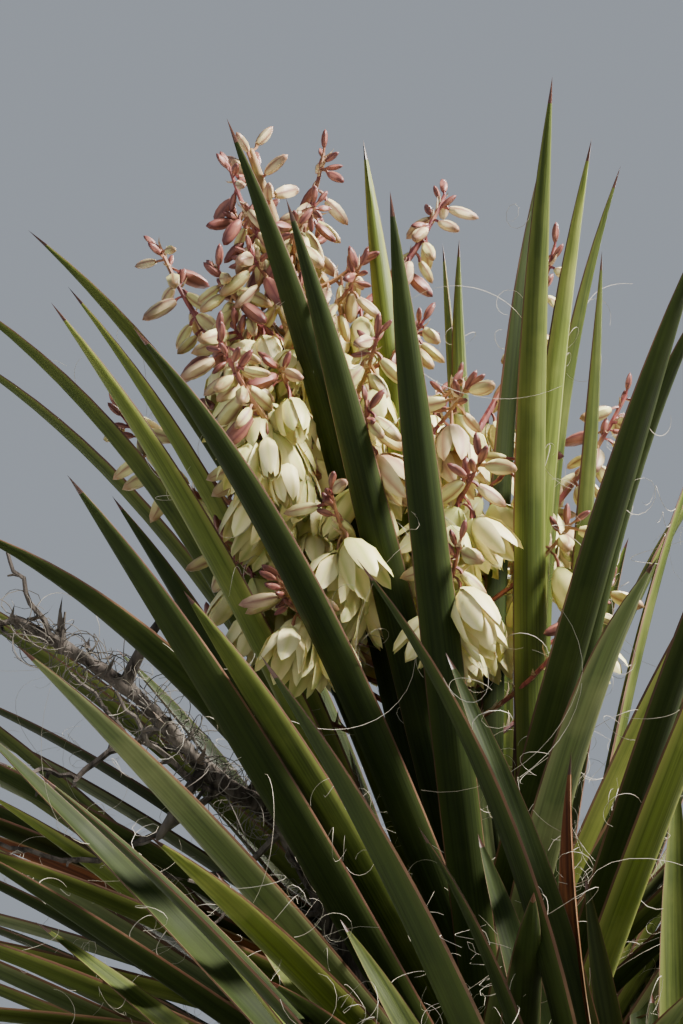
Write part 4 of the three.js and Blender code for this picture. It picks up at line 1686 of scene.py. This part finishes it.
    def tip(self, bow: Bow) -> None:
        """Closes the end of a branch with a few small dark buds that point on along it.

        Args:
            bow: The branch's centre line.
        """
        for k in range(self.tip_buds):
            root = bow.point(1 - self.tip_bud_step * k)
            direction = unit(bow.axis(1.0) * (1.3 - 0.25 * k) + 0.75 * unit(self.rng.normal(size=3)))
            if self.is_free(root, direction, self.tip_bud_reach, TIP_BUD_ROOM):
                turn = upright(direction, self.rng.uniform(0, 6)) * self.rng.uniform(0.45, 0.68)
                self.buds.stamp(self.bud_models[1], turn, root + direction * 5, 2)
                stem = Bow(root, root + direction * 3, root + direction * 6)
                self.twigs.tube(rod_rings(stem, (1.0, 1.2), 4, 2))

    def spurs(self) -> Iterable[Branch]:
        """Gives the short side branches that fill the panicle round its stalk.

        Yields:
            Those whose outer end stands clear of the leaves.
        """
        for k, station in enumerate(np.linspace(self.spurs_from, self.spurs_to, self.spur_count)):
            reach = np.interp(station, (0.22, 0.5, 0.9), (172, 122, 30))
            bow = self.branch((station, GOLDEN_TURN * k + 40, reach, reach * self.spur_lift), 0)
            bells, buds = next(load for limit, load in SPUR_LOADS if station < limit)
            pink = 0.2 + 0.6 * (station > 0.7)
            if self.leaves.find_nearest(Vector(bow.point(0.9) * MM), 6 * MM)[0] is None:
                yield Branch(bow, bells, buds, pink, self.spur_radii, 20 + reach * 0.2)

    def rachis(self) -> None:
        """Grows the stalk itself, thicker at each knot that a branch leaves from."""
        shares = np.linspace(0, 1, 46)
        knots = np.array([row[0] for row in (*BRANCHES, *TIP_BRANCHES)])
        swell = 1 + 0.16 * np.exp(-((shares[:, None] - knots[None]) / 0.008) ** 2).max(1)
        radii = np.interp(shares, (0, 1), STALK_RADII) * swell
        work = StemWork("rachis", sides=10, lumps=1.2, cracks=0.8, cell=9, smooth=1)
        stalk = work.finish(work.grow(self.stalk.point(shares), radii))
        stalk.data.materials.append(PAINTS.material(RACHIS))
        settle(stalk, ("flower_stalk",))

    def branches(self) -> list[Branch]:
        """Gathers the branches that have solids, those at the tip and the short ones.

        Returns:
            The branches, the redder ones higher up.
        """
        gathered = []
        for bow, row in self.kept_branches():
            pink = 0.15 + 0.75 * max(0.0, row[0] - 0.45) / 0.35
            gathered.append(Branch(bow, *row[4:], pink, self.limb_radii, self.limb_bract))
        for row in TIP_BRANCHES:
            bow = self.branch(row, 0)
            gathered.append(Branch(bow, *row[4:], 0.95, self.tip_radii, self.tip_bract))
        return [*gathered, *self.spurs()]

    def build(self) -> None:
        """Makes the stalk and everything on it."""
        branches = self.branches()
        for branch in branches:
            self.twigs.tube(rod_rings(branch.bow, branch.radii, 6, 10))
            self.bract(branch.bow.start, branch.bow.axis(0.2), branch.bract, branch.bract * 0.29)
        for closed in (False, True):
            for branch in branches:
                self.dress(branch, closed)
        for branch in branches:
            self.tip(branch.bow)
        for k in range(self.crown_buds):
            root = self.stalk.point(0.90 + 0.012 * k)
            self.flower(root, math.radians(GOLDEN_TURN * k), 0.1 + 0.12 * k, True, 0.95)
        self.rachis()
        nodes = [node for node in sorted(frame["nodes"]) if node.startswith("flower_branch")]
        LOG.info("%d flowers and buds have room", len(self.taken))
        self.twigs.piece("panicle_twigs", "stalk", nodes)
        self.bells.piece("panicle_bells", "flower", (), self.petal_crease)
        self.buds.piece("panicle_buds", "flower", (), self.bud_crease)
        self.bracts.piece("panicle_bracts", "flower", (), self.petal_crease)


def only(piece: bpy.types.Object) -> None:
    """Selects one object alone and makes it active."""
    bpy.ops.object.select_all(action="DESELECT")
    piece.select_set(True)
    bpy.context.view_layer.objects.active = piece


def finish_with(piece: bpy.types.Object, kind: str, **settings: object) -> None:
    """Adds a modifier, sets it and applies it.

    Args:
        piece: The object.
        kind: Blender's modifier type.
        **settings: Properties of the modifier.
    """
    only(piece)
    modifier = piece.modifiers.new(kind.lower(), kind)
    for key, value in settings.items():
        setattr(modifier, key, value)
    bpy.ops.object.modifier_apply(modifier=modifier.name)


@dataclass
class StemWork:
    """Grows a stem or stalk ring by ring from a disc, and gives it a rough surface."""

    name: str
    sides: int = 26
    rings: int = 24
    lumps: float = 5.0
    cracks: float = 5.0
    cell: float = 26.0
    smooth: int = 2

    def grow(self, centres: Array, radii: Sequence[float]) -> bpy.types.Object:
        """Extrudes a disc from centre to centre, and turns and scales each new ring.

        Args:
            centres: Centres of the rings, in millimetres.
            radii: Radius of each ring.

        Returns:
            The closed stem.
        """
        spots = [Vector(centre * MM) for centre in centres]
        along = [Vector(direction).normalized() for direction in np.gradient(centres, axis=0)]
        bpy.ops.object.select_all(action="DESELECT")
        bpy.ops.mesh.primitive_circle_add(
            vertices=self.sides, radius=radii[0] * MM, fill_type="TRIFAN",
            location=spots[0], rotation=along[0].to_track_quat("Z", "Y").to_euler(),
        )
        stem = bpy.context.object
        stem.name = self.name
        stem.data.name = self.name
        bpy.ops.object.mode_set(mode="EDIT")
        bpy.ops.mesh.select_all(action="SELECT")
        for k in range(1, len(spots)):
            bpy.ops.mesh.extrude_region_move(TRANSFORM_OT_translate={"value": spots[k] - spots[k - 1]})
            for axis, amount in zip("XYZ", along[k - 1].cross(along[k])):
                bpy.ops.transform.rotate(value=-amount, orient_axis=axis, center_override=spots[k])
            size = radii[k] / radii[k - 1]
            bpy.ops.transform.resize(value=(size, size, size), center_override=spots[k])
        bpy.ops.mesh.select_all(action="SELECT")
        bpy.ops.mesh.normals_make_consistent(inside=False)
        bpy.ops.object.mode_set(mode="OBJECT")
        only(stem)
        bpy.ops.object.transform_apply(location=True, rotation=True, scale=True)
        return stem

    def finish(self, stem: bpy.types.Object) -> bpy.types.Object:
        """Rounds a grown stem and roughens it.

        Args:
            stem: The grown stem.

        Returns:
            The same object, finished.
        """
        finish_with(stem, "SUBSURF", levels=self.smooth, render_levels=self.smooth)
        self.roughen(stem, "CLOUDS", self.lumps, self.cell * 2.2)
        self.roughen(stem, "VORONOI", self.cracks, self.cell)
        for vertex in stem.data.vertices:
            vertex.co.z = max(vertex.co.z, 0.0)
        stem.data.shade_smooth()
        return stem

    def roughen(self, stem: bpy.types.Object, kind: str, height: float, size: float) -> None:
        """Pushes the surface in and out by a pattern.

        Args:
            stem: The object.
            kind: Blender's texture type.
            height: Full height of the relief, in millimetres.
            size: Size of the pattern, in millimetres.
        """
        pattern = bpy.data.textures.new(f"{self.name}_{kind.lower()}", kind)
        pattern.noise_scale = size * MM
        finish_with(stem, "DISPLACE", texture=pattern, strength=height * MM, mid_level=0.62,
                    texture_coords="LOCAL")
        bpy.data.textures.remove(pattern)


@dataclass
class LeafBases:
    """The stubs of old leaf bases that cover a stem in a spiral."""

    width: float = 27.0
    height: float = 15.0
    depth: float = 8.0
    bevel: float = 1.2
    sink: float = 1.0
    full_size_at: float = 80.0
    crease: float = 40.0

    def scale(self) -> MeshPile:
        """Models one stub: a lens that stands out at its upper edge.

        Returns:
            The stub, its back at the origin and facing along +Z.
        """
        bpy.ops.object.select_all(action="DESELECT")
        bpy.ops.mesh.primitive_cube_add(size=1)
        block = bpy.context.object
        block.scale = (self.width, self.height, self.depth)
        bpy.ops.object.transform_apply(location=False, rotation=False, scale=True)
        bpy.ops.object.mode_set(mode="EDIT")
        bpy.ops.mesh.select_all(action="SELECT")
        bpy.ops.mesh.subdivide(number_cuts=1, smoothness=1.0)
        bpy.ops.mesh.bevel(offset=self.bevel, segments=1, affect="EDGES")
        bpy.ops.object.mode_set(mode="OBJECT")
        points = np.array([v.co[:] for v in block.data.vertices])
        points[:, 2] += np.where(points[:, 1] > 0, self.depth * 0.45, -self.depth * 0.15)
        points[:, 0] *= 1 - 0.35 * np.abs(points[:, 1]) / self.height
        model = MeshPile((SCAR,))
        corners: dict[int, list[tuple[int, ...]]] = {}
        for face in block.data.polygons:
            corners.setdefault(len(face.vertices), []).append(tuple(face.vertices))
        faces = [np.array(group) for group in corners.values()]
        model.add(points, faces, [0] * len(faces), points[:, :2] / self.width)
        bpy.data.objects.remove(block)
        return model

    def cover(self, name: str, stem: Stem, span: tuple[float, float], count: int, seed: int) -> None:
        """Covers a stretch of stem.

        Args:
            name: The piece's name.
            stem: The stem.
            span: Where the stretch starts and ends, as shares of the stem.
            count: How many stubs.
            seed: Seed of their wobble.
        """
        model = self.scale()
        rng = np.random.default_rng(seed)
        pile = MeshPile((SCAR,))
        for k in range(count):
            t = np.interp((k + 0.5) / count, (0, 1), span)
            axis = stem.bow.axis(t)
            out = outward(axis, GOLDEN_TURN * k + rng.normal(0, 4))
            lean = unit(out + axis * 0.25)
            across = unit(np.cross(axis, lean))
            size = rng.uniform(0.8, 1.1) * (0.75 + 0.25 * stem.radius(t) / self.full_size_at)
            turn = np.stack([across, np.cross(lean, across), lean], -1) * size
            pile.stamp(model, turn, stem.bow.point(t) + out * (stem.radius(t) - self.sink), 0)
        pile.piece(name, "bark", (), self.crease)


@dataclass
class StemSystem:
    """The trunk and both boughs with their bark."""

    under_relief: float = 2.0
    works: tuple[tuple, ...] = (
        (TRUNK, "trunk", StemWork("trunk_bark", rings=12, lumps=9, cracks=7)),
        (UPPER, "bough_upper", StemWork("bough_bark_upper")),
        (LOWER, "bough_lower", StemWork("bough_bark_lower", rings=18)),
    )
    covers: tuple[tuple, ...] = (
        ("trunk_leaf_bases", TRUNK, (0.16, 0.9), 90, 3),
        ("bough_leaf_bases_upper", UPPER, (0.16, 0.86), 430, 4),
        ("bough_leaf_bases_lower", LOWER, (0.28, 0.86), 230, 5),
    )

    def build(self) -> None:
        """Makes the three stems and the leaf bases on them."""
        for stem, node, work in self.works:
            shares = np.concatenate([[0.0, 0.004], np.linspace(0.05, 0.992, work.rings)])
            radii = [stem.radius(share) - self.under_relief for share in shares]
            piece = work.finish(work.grow(stem.bow.point(shares), radii))
            piece.data.materials.append(PAINTS.material(BARK))
            settle(piece, (node,))
        bases = LeafBases()
        for cover in self.covers:
            bases.cover(*cover)


@dataclass
class OldStalk:
    """Last year's flower stalk: grey, cracked, with stubs, dry twigs and a tangle of threads."""

    threads: int = 230
    threads_a_bract: int = 4
    bract_half: float = 3.5
    twig_points: int = 14
    shoots_at: tuple[int, ...] = (4, 7, 10)
    twigs: tuple[tuple[float, Triple], ...] = (
        (0.34, (-96, -58, 22)), (0.42, (-128, -30, -8)), (0.50, (-70, -66, 58)), (0.57, (-150, -22, -30)),
        (0.66, (-92, 26, 44)), (0.72, (-84, -52, -44)), (0.88, (-36, -30, 62)), (0.97, (-52, 12, 20)),
    )

    def wander(self, pile: MeshPile, root: Array, reach: Array, rng: np.random.Generator) -> None:
        """Adds a thin dry twig that wanders from a root, with a few short side shoots.

        Args:
            pile: The pile.
            root: Where it leaves the stalk.
            reach: From its root to its end.
            rng: Random numbers for its kinks.
        """
        t = np.linspace(0, 1, self.twig_points)[:, None]
        kinks = np.cumsum(rng.normal(0, 2.6, (self.twig_points, 3)), axis=0) * np.minimum(1, t * 4)
        droop = np.array([0, 0, -0.16]) * np.linalg.norm(reach) * np.sin(math.pi * t)
        path = root + reach * t + kinks + droop
        self.thread(pile, path, 3.0, 1.3)
        for k in self.shoots_at:
            side = unit(rng.normal(size=3) + 0.6 * unit(reach))
            steps = np.linspace(0, 1, 5)[:, None]
            shoot = path[k] + side * rng.uniform(12, 30) * steps + rng.normal(0, 1.4, (5, 3)) * steps
            self.thread(pile, shoot, 1.7, 0.8)

    @staticmethod
    def thread(pile: MeshPile, path: Array, thick: float, thin: float) -> None:
        """Adds a tapering five-sided rod along a path."""
        size = np.linspace(thick, thin, len(path))[:, None]
        pile.tube(round_rings(path, unit(np.gradient(path, axis=0)), size, 5))

    def path(self, share: float) -> Array:
        """Gives a point of the stalk's line, smooth through its named points.

        Args:
            share: Share of the way up.

        Returns:
            The point, in millimetres.
        """
        spots = np.array(OLD_STALK, float)
        place = min(share * (len(spots) - 1), len(spots) - 1 - 1e-6)
        k = int(place)
        u = place - k
        before = spots[max(k - 1, 0)]
        after = spots[min(k + 2, len(spots) - 1)]
        slope_in = (spots[k + 1] - before) / 2
        slope_out = (after - spots[k]) / 2
        return ((2 * u ** 3 - 3 * u ** 2 + 1) * spots[k] + (u ** 3 - 2 * u ** 2 + u) * slope_in
                + (3 * u ** 2 - 2 * u ** 3) * spots[k + 1] + (u ** 3 - u ** 2) * slope_out)

    def line(self, count: int) -> Array:
        """Gives points along the stalk's line."""
        return np.array([self.path(share) for share in np.linspace(0, 1, count)])

    def shaft(self) -> None:
        """Grows the stalk, with the swellings that its branches left, and roughens it."""
        shares = np.linspace(0, 1, 54)
        centres = self.line(len(shares))
        swell = 1 + 0.22 * np.exp(-((shares * 9 % 1 - 0.5) / 0.12) ** 2)
        radii = np.interp(shares, (0, 1), OLD_RADII) * swell * 0.95
        work = StemWork("withered_stalk_shaded", sides=12, lumps=3.0, cracks=2.2, cell=11)
        stalk = work.finish(work.grow(centres, radii))
        stalk.data.materials.append(PAINTS.material(WITHERED_SHADED))
        settle(stalk, ("old_flower_stalk",))

    def branched(self, rng: np.random.Generator) -> None:
        """Makes the stubs of its branches and the dry twigs.

        Args:
            rng: Random numbers for their bends.
        """
        stubs = MeshPile((WITHERED_SHADED,))
        for station, reach in OLD_STUBS:
            root = self.path(station)
            tip = root + np.array(reach, float)
            pull = (root + tip) / 2 + rng.normal(0, 3, 3)
            stubs.tube(rod_rings(Bow(root, pull, tip), (5.2, 3.0), 7, 8), tip=tip + unit(tip - root) * 6.0)
        for share, reach in self.twigs:
            self.wander(stubs, self.path(share), np.array(reach, float), rng)
        stubs.piece("withered_twigs", "withered", (), 60)

    def tangled(self, rng: np.random.Generator) -> None:
        """Makes the threads that hang on it, and a curled bract with every few of them.

        Args:
            rng: Random numbers for their places.
        """
        scraps = MeshPile((BRACT_DRY_SHADED, WITHERED_SHADED))
        threads = MeshPile((GREY_FIBRE_SHADED,))
        maker = FibreMaker(FibreStyle((22, 95), (5, 24), 0.5), threads, 9)
        for k in range(self.threads):
            root = self.path(rng.uniform(0.25, 1.0)) + rng.normal(0, 4, 3)
            out = unit(rng.normal(size=3))
            maker.curl(root, out, unit(rng.normal(size=3)))
            number, rest = divmod(k, self.threads_a_bract)
            if rest:
                continue
            side = unit(np.cross(out, np.array([0.2, 0.3, 1.0])))
            back = np.cross(side, out)
            reach = rng.uniform(9, 22)
            grid = []
            for share in (0.0, 0.35, 0.7):
                middle = root + out * reach * share + back * reach * 0.5 * share ** 2
                edges = (-self.bract_half, 0.0, self.bract_half)
                grid.append([middle + side * edge * (1 - share) for edge in edges])
            scraps.sheet(np.array(grid), root + out * reach + back * reach * 0.6, number % 2)
        scraps.piece("withered_bracts", "withered", (), 180)
        threads.piece("withered_threads", "withered", ())

    def build(self) -> None:
        """Makes the stalk and all that hangs on it."""
        self.shaft()
        rng = np.random.default_rng(8)
        self.branched(rng)
        self.tangled(rng)


@dataclass
class Studio:
    """The floor, the lights and the camera, with places and sizes in metres and power in watts."""

    eye: Triple = (-0.228, -1.389, 0.778)
    pitch: float = 97.0
    lens: float = 70.0
    sensor: float = 36.0
    aim: Triple = (-0.1, 0.1, 0.75)
    floor_size: float = 7.0
    air: str = "CFD8E4"
    air_strength: float = 0.5
    lamps: tuple[tuple, ...] = (
        ("key", (1.7, -0.2, 3.2), 0.8, 500, (1.0, 0.95, 0.87)),
        ("fill", (-2.4, -2.2, 1.4), 1.8, 14, (0.9, 0.95, 1.0)),
        ("back", (0.9, 2.6, 2.4), 1.2, 90, (1.0, 0.96, 0.9)),
    )

    def floor(self) -> None:
        """Lays a plain pale floor at ground level."""
        bpy.ops.object.select_all(action="DESELECT")
        bpy.ops.mesh.primitive_plane_add(size=self.floor_size)
        plane = bpy.context.object
        plane.name = "studio_floor"
        plane.data.materials.append(PAINTS.material(FLOOR_TONE))

    def light(self, name: str, place: Triple, size: float, power: float, tint: Triple) -> None:
        """Hangs a soft lamp that points at the plant.

        Args:
            name: The lamp's name.
            place: Where it hangs, in metres.
            size: Its side, in metres.
            power: Its power, in watts.
            tint: Its colour.
        """
        data = bpy.data.lights.new(name, "AREA")
        data.size = size
        data.energy = power
        data.color = tint
        lamp = bpy.data.objects.new(name, data)
        lamp.location = place
        lamp.rotation_euler = (Vector(self.aim) - Vector(place)).to_track_quat("-Z", "Y").to_euler()
        bpy.context.scene.collection.objects.link(lamp)

    def camera(self) -> None:
        """Sets the camera at the photograph's viewing angle."""
        data = bpy.data.cameras.new("view")
        data.lens = self.lens
        data.sensor_width = self.sensor
        data.clip_start = 0.02
        camera = bpy.data.objects.new("view", data)
        camera.location = self.eye
        camera.rotation_euler = (math.radians(self.pitch), 0, 0)
        bpy.context.scene.collection.objects.link(camera)
        bpy.context.scene.camera = camera

    def build(self) -> None:
        """Sets up the whole studio."""
        self.floor()
        world = bpy.data.worlds.new("studio_air")
        world.use_nodes = True
        air = world.node_tree.nodes["Background"].inputs
        air["Color"].default_value = linear(self.air)
        air["Strength"].default_value = self.air_strength
        bpy.context.scene.world = world
        for lamp in self.lamps:
            self.light(*lamp)
        self.camera()


def leaf_tree() -> BVHTree:
    """Gathers the blades in one search tree, in metres.

    Returns:
        The tree.
    """
    points: list[tuple[float, ...]] = []
    faces: list[tuple[int, ...]] = []
    for piece in bpy.context.scene.objects:
        if piece.name.startswith(("blade_", "rosette_")):
            start = len(points)
            points.extend(tuple(v.co) for v in piece.data.vertices)
            faces.extend(tuple(k + start for k in face.vertices) for face in piece.data.polygons)
    return BVHTree.FromPolygons(points, faces)


def main() -> None:
    """Builds the plant and its studio."""
    logging.basicConfig(level=logging.INFO, format="%(name)s: %(message)s")
    Studio().build()
    StemSystem().build()
    stalk = Bow(UPPER.bow.point(0.97), np.array(STALK_BULGE), np.array(STALK_TIP))
    old_stalk = OldStalk()
    stalks = np.concatenate([stalk.point(np.linspace(0, 0.5, 40)), old_stalk.line(40)])
    LeafHead("upper", UPPER, UPPER_LEAVES, UPPER_WHORLS, UPPER_SEED, stalks, flower_side=(212, 328)).build()
    LeafHead("lower", LOWER, LOWER_LEAVES, LOWER_WHORLS, LOWER_SEED, stalks).build()
    Panicle(stalk, leaf_tree()).build()
    old_stalk.build()


if __name__ == "__main__":
    main()
